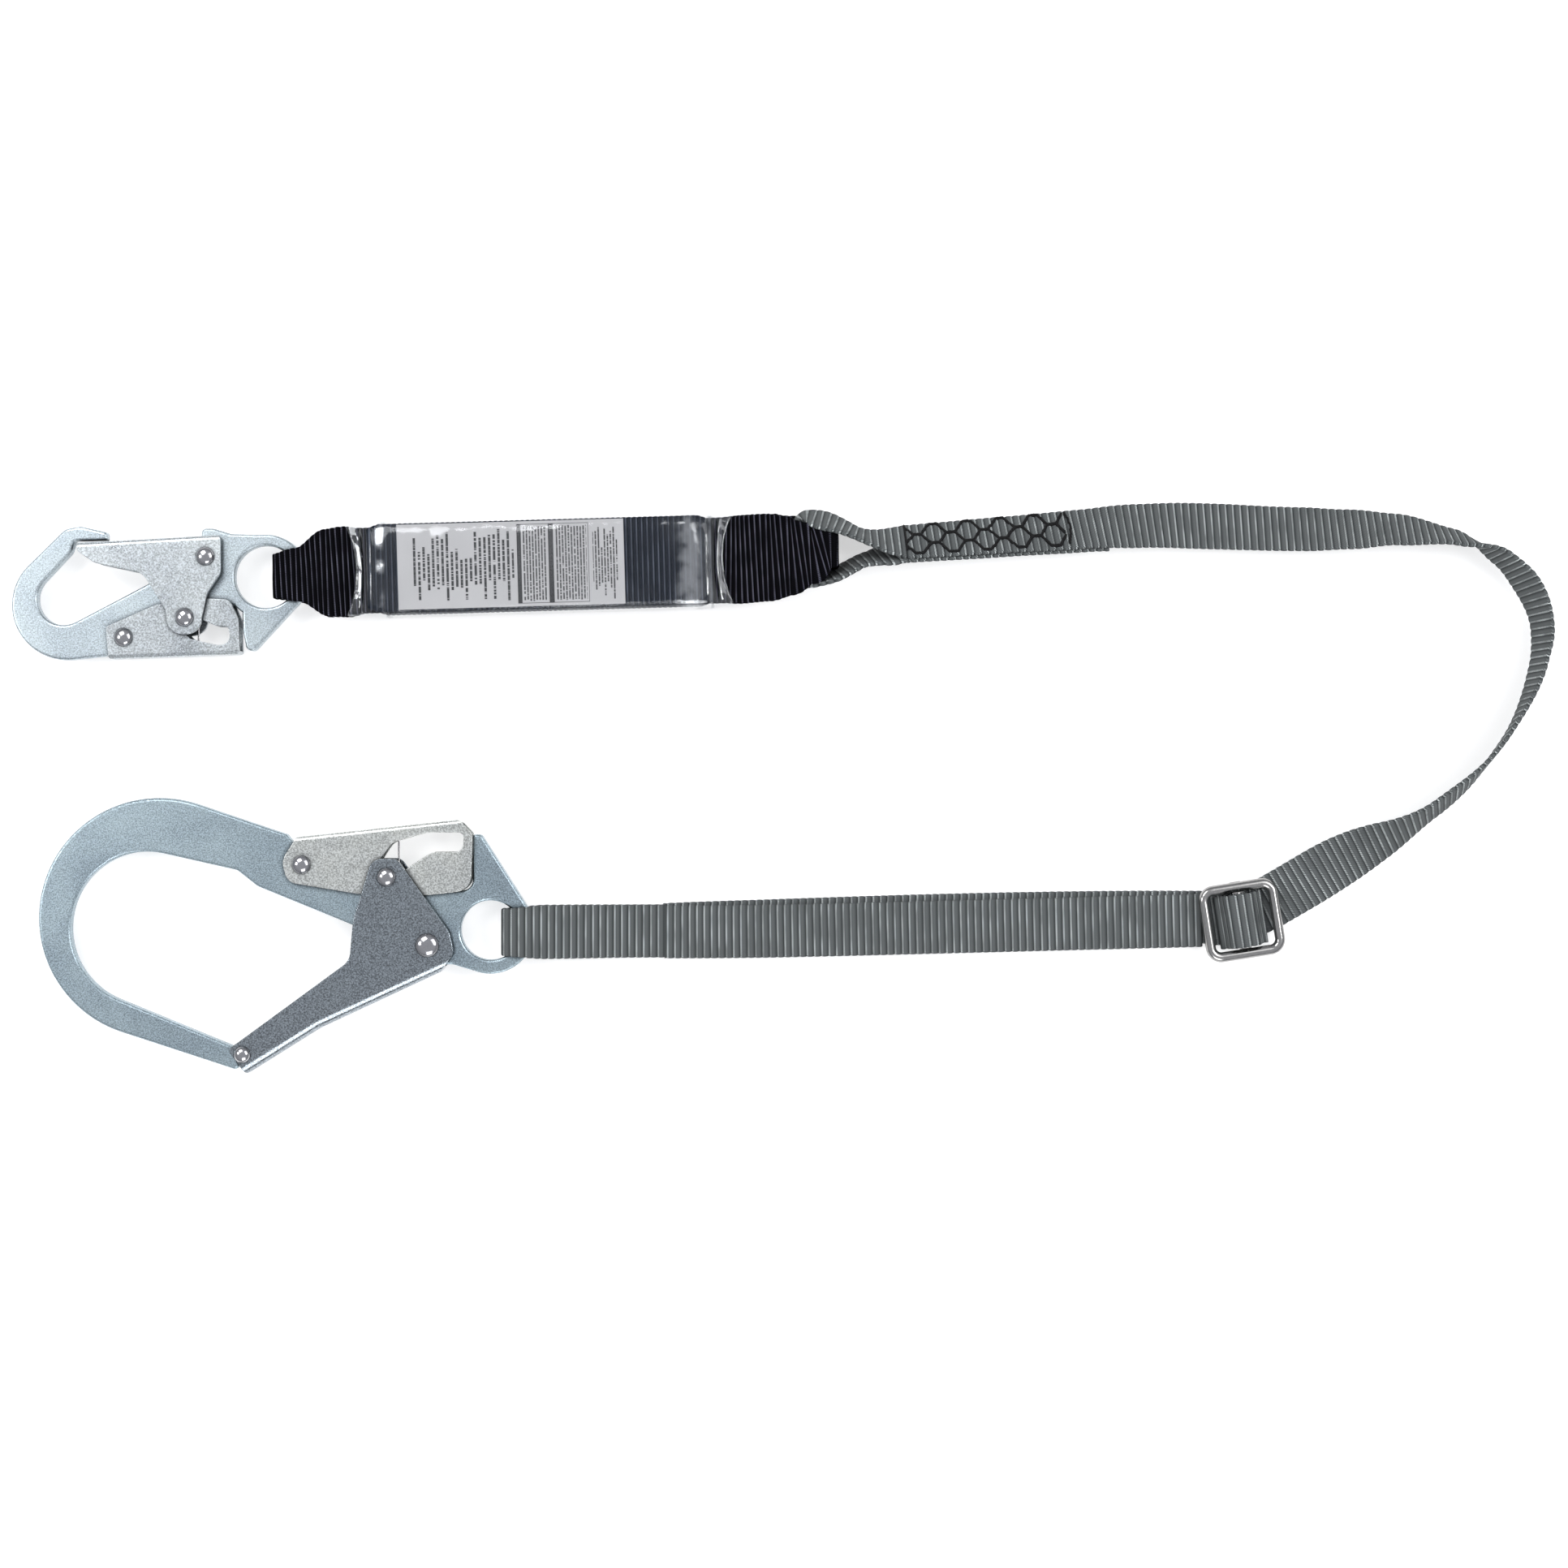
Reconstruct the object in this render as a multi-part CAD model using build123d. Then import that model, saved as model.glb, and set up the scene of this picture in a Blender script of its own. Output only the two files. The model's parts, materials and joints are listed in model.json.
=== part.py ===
from build123d import *
import math
import os

# A shock absorbing lanyard laid flat on a floor at z = 0, X along the absorber
# pack towards the long webbing loop, Y across, Z up. All sizes in millimetres.

# Webbing
WEB_WIDTH = 25.0          # grey leg webbing
WEB_THICK = 2.2
LAYER_GAP = 0.2           # between two grey layers lying on each other
TEAR_WIDTH = 41.0         # black tear webbing
TEAR_THICK = 2.3
LOOP_WIDTH = 40.0         # black loops where they leave the pack
WEB_LOW = WEB_THICK / 2                       # middle height of a strap on the floor
WEB_HIGH = 1.5 * WEB_THICK + LAYER_GAP        # middle height of the strap above it

# Absorber pack
PACK_CENTRE = (-49.9, 105.6)
PACK_TURN = 1.63
SLEEVE_LENGTH = 182.8
SLEEVE_WIDTH = 45.4
SLEEVE_HEIGHT = 27.0
SLEEVE_WALL = 0.5
STACK_LENGTH = 162.0
PACK_MIDDLE = SLEEVE_HEIGHT / 2

# Hooks: a solid plate between the cheeks of a lock lever, between those of a gate
PLATE_THICK = 6.0
SHEET = 1.7
LEVER_HALF = 5.0
GATE_HALF = 7.0
HEAD_HEIGHT = 2.5
HOOK_HEIGHT = GATE_HALF + HEAD_HEIGHT + 0.1   # middle plane of both hooks
PIN_RADIUS = 2.5
BORE_RADIUS = PIN_RADIUS + 0.05
ROLLER_RADIUS = 3.8
SLOT_HALF = 2.8
EDGE_ROUND = 1.2

# Snap hook, measured from the centre of its eye
SNAP_EYE = (-180.57, 100.49)
SNAP_EYE_HOLE = 14.75
SNAP_EYE_OUTER = 20.1
SNAP_PIVOT = (-27.57, 9.32)
SNAP_LOCK = (-37.38, -19.48)
SNAP_LEVER = (-66.68, -28.80)
SNAP_BOW_CENTRE = (-95.87, -10.59)
SNAP_BOW_INNER = 12.3
SNAP_BACK_CENTRE = (-94.13, -13.28)
SNAP_BACK_RADIUS = 26.2

# Rebar hook, measured from the centre of its eye
REBAR_EYE = (-74.04, -66.99)
REBAR_EYE_HOLE = 14.1
REBAR_EYE_OUTER = 20.7
REBAR_PIVOT = (-29.38, -6.85)
REBAR_LOCK = (-48.63, 25.33)
REBAR_LEVER = (-89.09, 31.19)
REBAR_NOSE = (-116.58, -58.40)
REBAR_BOW_CENTRE = (-162.7, 0.9)
REBAR_BOW_INNER = 36.3
REBAR_BACK_CENTRE = (-157.16, 5.78)
REBAR_BACK_RADIUS = 56.9

# Adjuster
ADJUSTER_CENTRE = (282.6, -62.4)
ADJUSTER_TURN = 9.0
FRAME_LENGTH = 38.0
FRAME_WIDTH = 36.7
FRAME_ROD = 2.4
FRAME_HEIGHT = 9.0
BAR_RADIUS = 2.5
BAR_HEIGHT = 8.0

# The doubled webbing runs straight from the adjuster to STRAIGHT_END, a little out of line with X
SLIDE_SLOPE = 0.0256
WEB_JOIN = 262.0
STRAIGHT_END = 82.6
RETURN_Y_JOIN = ADJUSTER_CENTRE[1] - SLIDE_SLOPE * (ADJUSTER_CENTRE[0] - WEB_JOIN)
RETURN_Y_END = ADJUSTER_CENTRE[1] - SLIDE_SLOPE * (ADJUSTER_CENTRE[0] - STRAIGHT_END)

parts = {}


def outline(*corners):
    """A closed face through corners (x, y, rounding radius)."""
    points = [(x, y) for x, y, _ in corners]
    radii = [r for _, _, r in corners]
    return make_face(FilletPolyline(*points, radius=radii, close=True))


def polyline_between(start, corners, end):
    """An open path from start to end through corners (x, y, rounding radius)."""
    points = [start] + [(x, y) for x, y, _ in corners] + [end]
    return FilletPolyline(*points, radius=[r for _, _, r in corners])


def tangent_angle(centre, radius, point, side):
    """Where the tangent from a point touches a circle, as an angle in degrees."""
    dx, dy = point[0] - centre[0], point[1] - centre[1]
    return math.degrees(math.atan2(dy, dx) + side * math.acos(radius / math.hypot(dx, dy)))


def disc(point, radius):
    """A filled circle in the sketch plane."""
    return Pos(*point) * Circle(radius)


def slab(face, half):
    """A face made into a plate of half thickness half, about the middle plane."""
    return extrude(face, amount=half, both=True)


def hook_plate(back_arc, nose_corners, bow_arc, tail_corners, additions, holes):
    """A hook body: outer arc, nose, inner arc and the outline back past the eye."""
    nose = polyline_between(back_arc @ 1, nose_corners, bow_arc @ 1)
    tail = polyline_between(bow_arc @ 0, tail_corners, back_arc @ 0)
    face = make_face([back_arc, nose, bow_arc, tail])
    for addition in additions:
        face += addition
    body = slab(face, PLATE_THICK / 2)
    for hole in holes:
        body -= slab(hole, PLATE_THICK)
    return body


def rounded_faces(body, radius):
    """Round the edges around the top and bottom faces of a plate."""
    layers = body.edges().filter_by(lambda e: abs(e.center().Z) > PLATE_THICK / 2 - 0.01)
    return fillet(layers, radius)


def channel(face, spine, inside, half, round_outer, round_inner):
    """Folded sheet: two cheeks of the face's shape joined by a spine along a line."""
    start, second = Vector(*spine[0]), Vector(*spine[1])
    end, before = Vector(*spine[-1]), Vector(*spine[-2])
    along = (second - start).normalized()
    ahead = (end - before).normalized()
    path = Polyline(start - along * 20, *[Vector(*p) for p in spine[1:-1]], end + ahead * 20)
    inward = Vector(-along.Y, along.X) * inside
    plane = Plane(origin=start - along * 20, x_dir=inward, z_dir=along)
    fold = fold_side(0, half, round_outer) - fold_side(SHEET, half - SHEET, round_inner)
    sheet = sweep(plane * fold, path=path, transition=Transition.RIGHT)
    return sheet & slab(face, half)


def fold_side(start, half, rounding):
    """The section of a fold: a long rectangle with its first two corners rounded."""
    depth = 90
    return outline((start, -half, rounding), (depth, -half, 0.0), (depth, half, 0.0), (start, half, rounding))


def head(radius, base):
    """A domed rivet head standing on height base."""
    blank = Pos(0, 0, base) * Cylinder(radius, HEAD_HEIGHT, align=(Align.CENTER, Align.CENTER, Align.MIN))
    return fillet(blank.edges().group_by(Axis.Z)[-1], HEAD_HEIGHT * 0.8)


def rivet(point, head_radius, cheek_half):
    """A pin through two cheeks with a domed head on each side."""
    top = head(head_radius, cheek_half)
    solid = Cylinder(PIN_RADIUS, 2 * cheek_half) + top + mirror(top, Plane.XY)
    return Pos(*point) * solid


def roller(point):
    """The spring roller on a lock rivet, between the lever's cheeks."""
    ring = Cylinder(ROLLER_RADIUS, PLATE_THICK) - Cylinder(PIN_RADIUS, PLATE_THICK)
    return Pos(*point) * ring


def torsion_spring(point, to_spine, to_wall, flip):
    """Wire coil round a roller, one leg to the lever's spine and one to the bay wall."""
    wire, coil, pitch, turns = 0.45, 4.5, 1.05, 4.25
    rise = pitch * turns
    helix = Helix(pitch, rise, coil, center=(0, 0, -rise / 2))
    coil_wire = sweep(Plane(helix @ 0, z_dir=helix % 0) * Circle(wire), path=helix)
    leg = Cylinder(wire, to_spine, align=(Align.CENTER, Align.CENTER, Align.MIN))
    spine_leg = Pos(*(helix @ 0)) * Rot(90, 0, 0) * leg
    leg = Cylinder(wire, to_wall, align=(Align.CENTER, Align.CENTER, Align.MIN))
    wall_leg = Pos(*(helix @ 1)) * Rot(0, -90, 0) * leg
    spring = coil_wire + spine_leg + wall_leg
    if flip:
        spring = mirror(spring, Plane.XZ)
    return Pos(*point) * spring


def place_hook(eye, pieces):
    """Move a hook's pieces to its eye and to the height of its middle plane."""
    for name, solid in pieces.items():
        parts[name] = Pos(eye[0], eye[1], HOOK_HEIGHT) * solid


def snap_hook():
    """Double locking snap hook: plate, gate, lock lever, rivets, roller and spring."""
    nose_inside = (-92.0, 11.55)
    shank_end = (-30.5, 9.8)
    back_top = (-96.83, 20.79)
    back_bottom = (-76.0, -37.73)
    bow_from = tangent_angle(SNAP_BOW_CENTRE, SNAP_BOW_INNER, nose_inside, 1)
    bow_to = tangent_angle(SNAP_BOW_CENTRE, SNAP_BOW_INNER, shank_end, -1) + 360
    back_from = tangent_angle(SNAP_BACK_CENTRE, SNAP_BACK_RADIUS, back_top, 1)
    back_to = tangent_angle(SNAP_BACK_CENTRE, SNAP_BACK_RADIUS, back_bottom, -1) + 360
    back = CenterArc(SNAP_BACK_CENTRE, SNAP_BACK_RADIUS, back_to, back_from - back_to)
    bow = CenterArc(SNAP_BOW_CENTRE, SNAP_BOW_INNER, bow_to, bow_from - bow_to)
    nose = [(-95.0, 22.6, 7.0), (-87.6, 23.9, 6.0), (-75.0, 21.0, 1.6), (-75.0, 17.35, 0.8),
            (-90.6, 16.95, 1.4), (-92.0, 11.55, 5.0)]
    tail = [(*shank_end, 0.0), (-30.3, 22.9, 2.2), (-24.6, 22.9, 4.0), (-16.3, 20.3, 6.0),
            (3.35, 19.75, 0.0), (17.09, -10.9, 0.0), (-8.24, -38.5, 3.0), (-11.0, -24.7, 4.0),
            (-11.0, -13.5, 2.0), (-45.0, -13.5, 2.0), (-45.0, -28.5, 1.5), (-73.0, -36.4, 0.8),
            (*back_bottom, 0.8)]
    body = hook_plate(back, nose, bow, tail,
                      [disc((0, 0), SNAP_EYE_OUTER), disc(SNAP_PIVOT, 7.3)],
                      [disc((0, 0), SNAP_EYE_HOLE), disc(SNAP_PIVOT, BORE_RADIUS),
                       disc(SNAP_LEVER, BORE_RADIUS)])

    gate_spine = ((-88.55, 15.79), (-20.4, 19.64))
    gate_face = outline((*gate_spine[0], 1.0), (*gate_spine[1], 2.5), (-20.4, 1.2, 5.0),
                        (-26.6, -8.0, 8.0), (-29.28, -20.0, 4.0), (-29.28, -27.58, 7.5),
                        (-45.48, -27.58, 7.9), (-46.0, -16.5, 5.0), (-57.0, 1.4, 9.0),
                        (-80.0, 6.3, 6.0), (-88.3, 12.2, 3.0))
    gate = channel(gate_face, gate_spine, -1, GATE_HALF, 2.2, 0.7)
    gate -= Pos(-15.8, 15) * Box(31.6, 20, 2 * (GATE_HALF - SHEET))
    gate -= slab(disc(SNAP_PIVOT, PIN_RADIUS) + disc(SNAP_LOCK, PIN_RADIUS), GATE_HALF)

    lever_spine = ((-73.73, -39.12), (-11.94, -36.84))
    lever_face = outline((*lever_spine[1], 1.2), (-12.4, -20.5, 6.0), (-16.4, -10.9, 4.5),
                         (-27.0, -10.4, 8.0), (-50.82, -13.2, 15.0), (-75.0, -23.8, 2.0),
                         (*lever_spine[0], 1.2))
    lever = channel(lever_face, lever_spine, 1, LEVER_HALF, 2.0, 0.5)
    slot = SlotArc(ThreePointArc(SNAP_LOCK, (-29.12, -23.78), (-20.94, -27.19)), 2 * SLOT_HALF)
    window = outline((-28.1, -23.4, 1.0), (-16.9, -23.5, 2.5), (-16.0, -31.9, 4.0),
                     (-22.2, -32.5, 6.0), (-35.0, -29.6, 3.0), (-38.2, -26.2, 0.6))
    lever -= slab(slot + window, LEVER_HALF)
    lever -= slab(disc(SNAP_LEVER, PIN_RADIUS), LEVER_HALF)

    place_hook(SNAP_EYE, {
        "snap_hook_body": rounded_faces(body, EDGE_ROUND),
        "snap_gate": gate,
        "snap_lock_lever": lever,
        "snap_gate_pivot_rivet": rivet(SNAP_PIVOT, 4.35, GATE_HALF),
        "snap_gate_lock_rivet": rivet(SNAP_LOCK, 4.35, GATE_HALF),
        "snap_lever_rivet": rivet(SNAP_LEVER, 4.35, LEVER_HALF),
        "snap_lock_roller": roller(SNAP_LOCK),
        "snap_torsion_spring": torsion_spring(SNAP_LOCK, 16.4, 6.8, False),
    })


def rebar_hook():
    """Large scaffold hook: plate, gate, lock lever, rivets, roller and spring."""
    nose_inside = (-122.8, -54.8)
    bow_top = (-120.0, 28.49)
    back_top = (-96.5, 45.4)
    back_bottom = (-117.7, -67.0)
    bow_from = tangent_angle(REBAR_BOW_CENTRE, REBAR_BOW_INNER, bow_top, 1)
    bow_to = tangent_angle(REBAR_BOW_CENTRE, REBAR_BOW_INNER, nose_inside, -1) + 360
    back_from = tangent_angle(REBAR_BACK_CENTRE, REBAR_BACK_RADIUS, back_top, 1)
    back_to = tangent_angle(REBAR_BACK_CENTRE, REBAR_BACK_RADIUS, back_bottom, -1) + 360
    back = CenterArc(REBAR_BACK_CENTRE, REBAR_BACK_RADIUS, back_from, back_to - back_from)
    bow = CenterArc(REBAR_BOW_CENTRE, REBAR_BOW_INNER, bow_from, bow_to - bow_from)
    nose = [(*back_bottom, 2.0), (-120.0, -60.9, 2.0), (*nose_inside, 2.0)]
    tail = [(*bow_top, 4.0), (-110.23, 20.79, 8.0), (-65.45, 2.5, 30.0), (-33.0, -10.5, 0.0),
            (-27.0, -16.4, 0.0), (-18.0, -16.2, 5.0), (-8.05, -19.2, 0.0), (17.63, 10.8, 0.0),
            (-4.2, 45.2, 1.6), (-8.35, 45.6, 1.6), (-8.35, 18.9, 5.0), (-54.94, 18.9, 3.0),
            (-54.94, 29.8, 1.5), (-93.2, 41.2, 1.0), (*back_top, 1.0)]
    body = hook_plate(back, nose, bow, tail,
                      [disc((0, 0), REBAR_EYE_OUTER), disc(REBAR_PIVOT, 11.0)],
                      [disc((0, 0), REBAR_EYE_HOLE), disc(REBAR_PIVOT, BORE_RADIUS),
                       disc(REBAR_LEVER, BORE_RADIUS)])

    gate_spine = ((-114.9, -67.9), (-80.5, -46.3), (-23.6, -19.8))
    gate_face = outline((*gate_spine[0], 1.5), (*gate_spine[1], 60.0), (*gate_spine[2], 2.0),
                        (-16.6, -10.5, 6.0), (-19.0, -0.5, 8.0), (-43.6, 34.0, 5.0),
                        (-55.3, 34.0, 6.0), (-64.3, 5.0, 30.0), (-66.0, -14.2, 8.0),
                        (-123.4, -56.2, 2.0))
    gate = channel(gate_face, gate_spine, 1, GATE_HALF, 4.7, 3.0)
    gate -= slab(disc(REBAR_PIVOT, PIN_RADIUS) + disc(REBAR_LOCK, PIN_RADIUS)
                 + disc(REBAR_NOSE, PIN_RADIUS), GATE_HALF)

    lever_spine = ((-91.3, 44.3), (-15.0, 52.5))
    lever_face = outline((*lever_spine[0], 1.5), (-98.6, 33.0, 9.0), (-95.5, 22.8, 6.0),
                         (-61.4, 17.2, 40.0), (-31.2, 16.6, 30.0), (-8.9, 19.0, 8.0),
                         (-8.2, 45.5, 5.0), (*lever_spine[1], 4.0))
    lever = channel(lever_face, lever_spine, -1, LEVER_HALF, 2.0, 0.5)
    slot = SlotArc(ThreePointArc(REBAR_LOCK, (-35.94, 34.97), (-23.04, 42.16)), 2 * SLOT_HALF)
    window = outline((-52.6, 32.5, 1.0), (-46.5, 41.7, 8.0), (-30.0, 46.4, 20.0),
                     (-12.0, 46.3, 2.5), (-13.0, 37.2, 3.5), (-36.0, 36.9, 6.0), (-43.0, 31.0, 1.5))
    lever -= slab(slot + window, LEVER_HALF)
    lever -= slab(disc(REBAR_LEVER, PIN_RADIUS), LEVER_HALF)

    place_hook(REBAR_EYE, {
        "rebar_hook_body": rounded_faces(body, EDGE_ROUND),
        "rebar_gate": gate,
        "rebar_lock_lever": lever,
        "rebar_gate_pivot_rivet": rivet(REBAR_PIVOT, 5.5, GATE_HALF),
        "rebar_gate_lock_rivet": rivet(REBAR_LOCK, 4.4, GATE_HALF),
        "rebar_gate_nose_rivet": rivet(REBAR_NOSE, 3.85, GATE_HALF),
        "rebar_lever_rivet": rivet(REBAR_LEVER, 4.4, LEVER_HALF),
        "rebar_lock_roller": roller(REBAR_LOCK),
        "rebar_torsion_spring": torsion_spring(REBAR_LOCK, 20.0, 5.4, True),
    })


def place_in_pack(solid):
    """Turn a piece built along X about the pack's middle and move it there."""
    return Pos(*PACK_CENTRE, 0) * Rot(0, 0, PACK_TURN) * solid


def side_profile(points, radii, thickness, width):
    """Webbing whose side view is a path in X and Z, width across Y."""
    path = FilletPolyline(*points, radius=radii)
    face = trace(path.edges(), line_width=thickness)
    return extrude(Plane.XZ * face, amount=width / 2, both=True)


def folded_stack(layers, base):
    """Tear webbing folded to and fro into flat layers, from height base upwards."""
    gap = 0.3
    pitch = TEAR_THICK + gap
    bend = pitch / 2
    reach = STACK_LENGTH / 2 - bend - TEAR_THICK / 2
    stack = None
    for layer in range(layers):
        height = base + TEAR_THICK / 2 + layer * pitch
        slab_layer = Pos(0, 0, height) * Box(2 * reach, TEAR_WIDTH, TEAR_THICK)
        stack = slab_layer if stack is None else stack + slab_layer
        if layer:
            side = 1 if layer % 2 else -1
            outer = Cylinder(bend + TEAR_THICK / 2, TEAR_WIDTH)
            inner = Cylinder(bend - TEAR_THICK / 2, TEAR_WIDTH)
            half = Pos(side * 5, 0, 0) * Box(10, 20, TEAR_WIDTH)
            turn = (outer - inner) & half
            stack += Pos(side * reach, 0, height - bend) * Rot(90, 0, 0) * turn
    return stack


def absorber():
    """Clear sleeve with folded tear webbing, backup web, label and both end loops."""
    outer = RectangleRounded(SLEEVE_WIDTH, SLEEVE_HEIGHT, 3.5)
    inner = RectangleRounded(SLEEVE_WIDTH - 2 * SLEEVE_WALL, SLEEVE_HEIGHT - 2 * SLEEVE_WALL, 3.0)
    sleeve = extrude(Plane.YZ * (outer - inner), amount=SLEEVE_LENGTH / 2, both=True)
    parts["clear_sleeve"] = place_in_pack(Pos(0, 0, PACK_MIDDLE) * sleeve)

    stack_height = 3 * TEAR_THICK + 2 * 0.3
    lower_base = 1.2
    upper_base = lower_base + stack_height + 8.7
    parts["tear_web_lower"] = place_in_pack(folded_stack(3, lower_base))
    parts["tear_web_upper"] = place_in_pack(folded_stack(3, upper_base))
    label_base = upper_base + stack_height + 0.1
    label = Pos(-7.6, 0, label_base) * Box(108.0, 38.0, 0.4, align=(Align.CENTER, Align.CENTER, Align.MIN))
    parts["label_card"] = place_in_pack(label)

    # The loops' ends and the backup web share the gap between the two stacks.
    web_z = TEAR_THICK / 2 + 0.1
    fold = [(-52, PACK_MIDDLE - web_z), (52, PACK_MIDDLE - web_z), (52, PACK_MIDDLE + web_z),
            (-52, PACK_MIDDLE + web_z)]
    parts["backup_web"] = place_in_pack(side_profile(fold, [web_z * 0.99] * 2, TEAR_THICK, 38.0))
    tack = Box(5.0, 34.0, 2 * TEAR_THICK + 0.2)
    parts["hook_end_bartack"] = place_in_pack(Pos(-56.0, 0, PACK_MIDDLE) * tack)
    parts["leg_end_bartack"] = place_in_pack(Pos(56.0, 0, PACK_MIDDLE) * tack)

    # Hook end loop, in pack coordinates: it passes through the snap hook's eye.
    crest = -126.6
    reach = 3.4 + TEAR_THICK / 2
    turn = [(-58.5, PACK_MIDDLE + web_z), (-95.0, PACK_MIDDLE + web_z), (-104.0, HOOK_HEIGHT + reach),
            (crest, HOOK_HEIGHT + reach), (crest, HOOK_HEIGHT - reach), (-106.0, HOOK_HEIGHT - reach),
            (-95.0, PACK_MIDDLE - web_z), (-58.5, PACK_MIDDLE - web_z)]
    loop = side_profile(turn, [12, 12, reach * 0.99, reach * 0.99, 5, 5], TEAR_THICK, LOOP_WIDTH)
    plan = make_face(Polyline((-130, -13.6), (-114, -13.6), (-96, -LOOP_WIDTH / 2), (-50, -LOOP_WIDTH / 2),
                              (-50, LOOP_WIDTH / 2), (-96, LOOP_WIDTH / 2), (-114, 10.6), (-130, 10.6),
                              close=True))
    parts["hook_end_loop"] = place_in_pack(loop & extrude(plan, amount=40))

    # Leg end loop and the wear pad that lines its crest.
    crest = 140.8 - TEAR_THICK / 2
    reach = 8.85
    turn = [(58.5, PACK_MIDDLE + web_z), (88.0, PACK_MIDDLE + web_z), (104.0, PACK_MIDDLE + reach),
            (crest, PACK_MIDDLE + reach), (crest, PACK_MIDDLE - reach), (104.0, PACK_MIDDLE - reach),
            (88.0, PACK_MIDDLE - web_z), (58.5, PACK_MIDDLE - web_z)]
    loop = side_profile(turn, [14, 14, reach * 0.99, reach * 0.99, 14, 14], TEAR_THICK, LOOP_WIDTH)
    plan = make_face(Polyline((50, -LOOP_WIDTH / 2), (112, -LOOP_WIDTH / 2), (120, -15.0), (142, -6.5),
                              (142, 12.5), (122, 19.0), (112, LOOP_WIDTH / 2), (50, LOOP_WIDTH / 2),
                              close=True))
    parts["leg_end_loop"] = place_in_pack(loop & extrude(plan, amount=40))
    pad_thick = 1.6
    pad_reach = reach - TEAR_THICK / 2 - 0.1 - pad_thick / 2
    pad_crest = crest - TEAR_THICK / 2 - 0.1 - pad_thick / 2
    pad = [(110, PACK_MIDDLE + pad_reach), (pad_crest, PACK_MIDDLE + pad_reach),
           (pad_crest, PACK_MIDDLE - pad_reach), (110, PACK_MIDDLE - pad_reach)]
    lining = Pos(0, 3.0, 0) * side_profile(pad, [pad_reach * 0.99] * 2, pad_thick, 18.0)
    parts["loop_wear_pad"] = place_in_pack(lining)


def strap(stations):
    """A flat strap through stations (point, travel direction, tilt, width)."""
    sections = []
    for point, travel, tilt, width in stations:
        left = Vector(-travel.Y, travel.X, 0).normalized()
        across = left * math.cos(math.radians(tilt)) + Vector(0, 0, math.sin(math.radians(tilt)))
        plane = Plane(origin=point, x_dir=across, z_dir=Vector(travel.X, travel.Y, 0))
        sections.append(plane * Rectangle(width, WEB_THICK))
    return loft(sections, ruled=True)


def smooth(value):
    """A step from 0 to 1 with level ends."""
    value = min(max(value, 0.0), 1.0)
    return value * value * (3 - 2 * value)


# The middle line of the single leg webbing, from the sewn eye to the adjuster.
LEG_ROUTE = [(122.4, 117.0, WEB_HIGH), (172.0, 120.8, WEB_HIGH), (234.0, 126.2, WEB_HIGH),
             (270.0, 126.2, 1.4), (316.0, 124.0, 2.0), (366.0, 124.0, 10.8), (404.0, 114.0, 13.6),
             (426.0, 84.0, 13.6), (421.0, 49.0, 13.6), (400.0, 12.0, 13.6), (367.0, -15.5, 12.3),
             (334.0, -32.0, 4.6), (308.0, -48.0, 2.9), (286.0, -60.5, WEB_HIGH),
             (WEB_JOIN, RETURN_Y_JOIN, WEB_HIGH)]


def leg_webbing():
    """The single run of leg webbing, which stands on its edge round the bend."""
    points = [Vector(*p) for p in LEG_ROUTE]
    radii = []
    for before, here, after in zip(points, points[1:], points[2:]):
        half_turn = math.radians((here - before).get_angle(after - here)) / 2
        radii.append(0.45 * min((here - before).length, (after - here).length) / math.tan(half_turn))
    print("leg webbing radii", [round(r) for r in radii])
    path = FilletPolyline(*LEG_ROUTE, radius=radii)
    path = Wire(path.edges())
    print("leg webbing length", round(path.length, 1))
    count = 48
    stations = []
    for i in range(count + 1):
        share = i / count
        along = share * path.length
        turned = smooth((along - 215) / 75) - smooth((along - 400) / 75)
        stations.append((path @ share, path % share, -88 * turned, WEB_WIDTH))
    run = strap(stations)
    print("leg webbing volume against section times length",
          round(run.volume), round(WEB_WIDTH * WEB_THICK * path.length))
    parts["leg_webbing"] = run


# The sewn eye through the leg end loop: x, y, z, tilt, width of the folded strap.
EYE_STATIONS = [(122.4, 112.5, WEB_LOW + 0.05, 0, 25), (112, 111.5, 6.8, 25, 25), (103, 108.5, 11.3, 55, 25),
                (94, 102.3, 12.9, 75, 24), (86, 95.6, 13.3, 80, 22), (77.5, 93.4, 13.5, 80, 14),
                (73.5, 97.8, 13.5, 70, 10), (72.5, 106, 13.5, 40, 11), (72.5, 112, 13.5, 15, 15),
                (72.5, 118, 13.5, 40, 11), (74, 126.0, 13.5, 70, 10), (79, 131.0, 13.5, 80, 14),
                (87, 131.8, 13.3, 85, 22), (96, 128.8, 13.0, 105, 25), (105, 124.2, 12.0, 125, 25),
                (114, 120.2, 8.8, 155, 25), (122.4, 117.0, WEB_HIGH, 180, 25)]


def leg_eye():
    """The sewn eye at the absorber end: loop, lap under the run and lock stitching."""
    stations = []
    for i, (x, y, z, tilt, width) in enumerate(EYE_STATIONS):
        before = EYE_STATIONS[max(i - 1, 0)]
        after = EYE_STATIONS[min(i + 1, len(EYE_STATIONS) - 1)]
        stations.append((Vector(x, y, z), Vector(after[0] - before[0], after[1] - before[1]), tilt, width))
    parts["leg_eye_loop"] = strap(stations)

    slope = math.degrees(math.atan2(8.3, 87.6))
    lap = Pos(122.9, 112.5, 0) * Rot(0, 0, slope) * Box(95, WEB_WIDTH, WEB_THICK,
                                                       align=(Align.MIN, Align.CENTER, Align.MIN))
    parts["eye_end_lap"] = lap
    stitch_top = WEB_HIGH + WEB_THICK / 2 + 0.05
    net = Pos(166.0, 120.6, stitch_top) * Rot(0, 0, slope) * Box(76, 20, 0.4,
                                                                align=(Align.CENTER, Align.CENTER, Align.MIN))
    parts["eye_stitching"] = net


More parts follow.
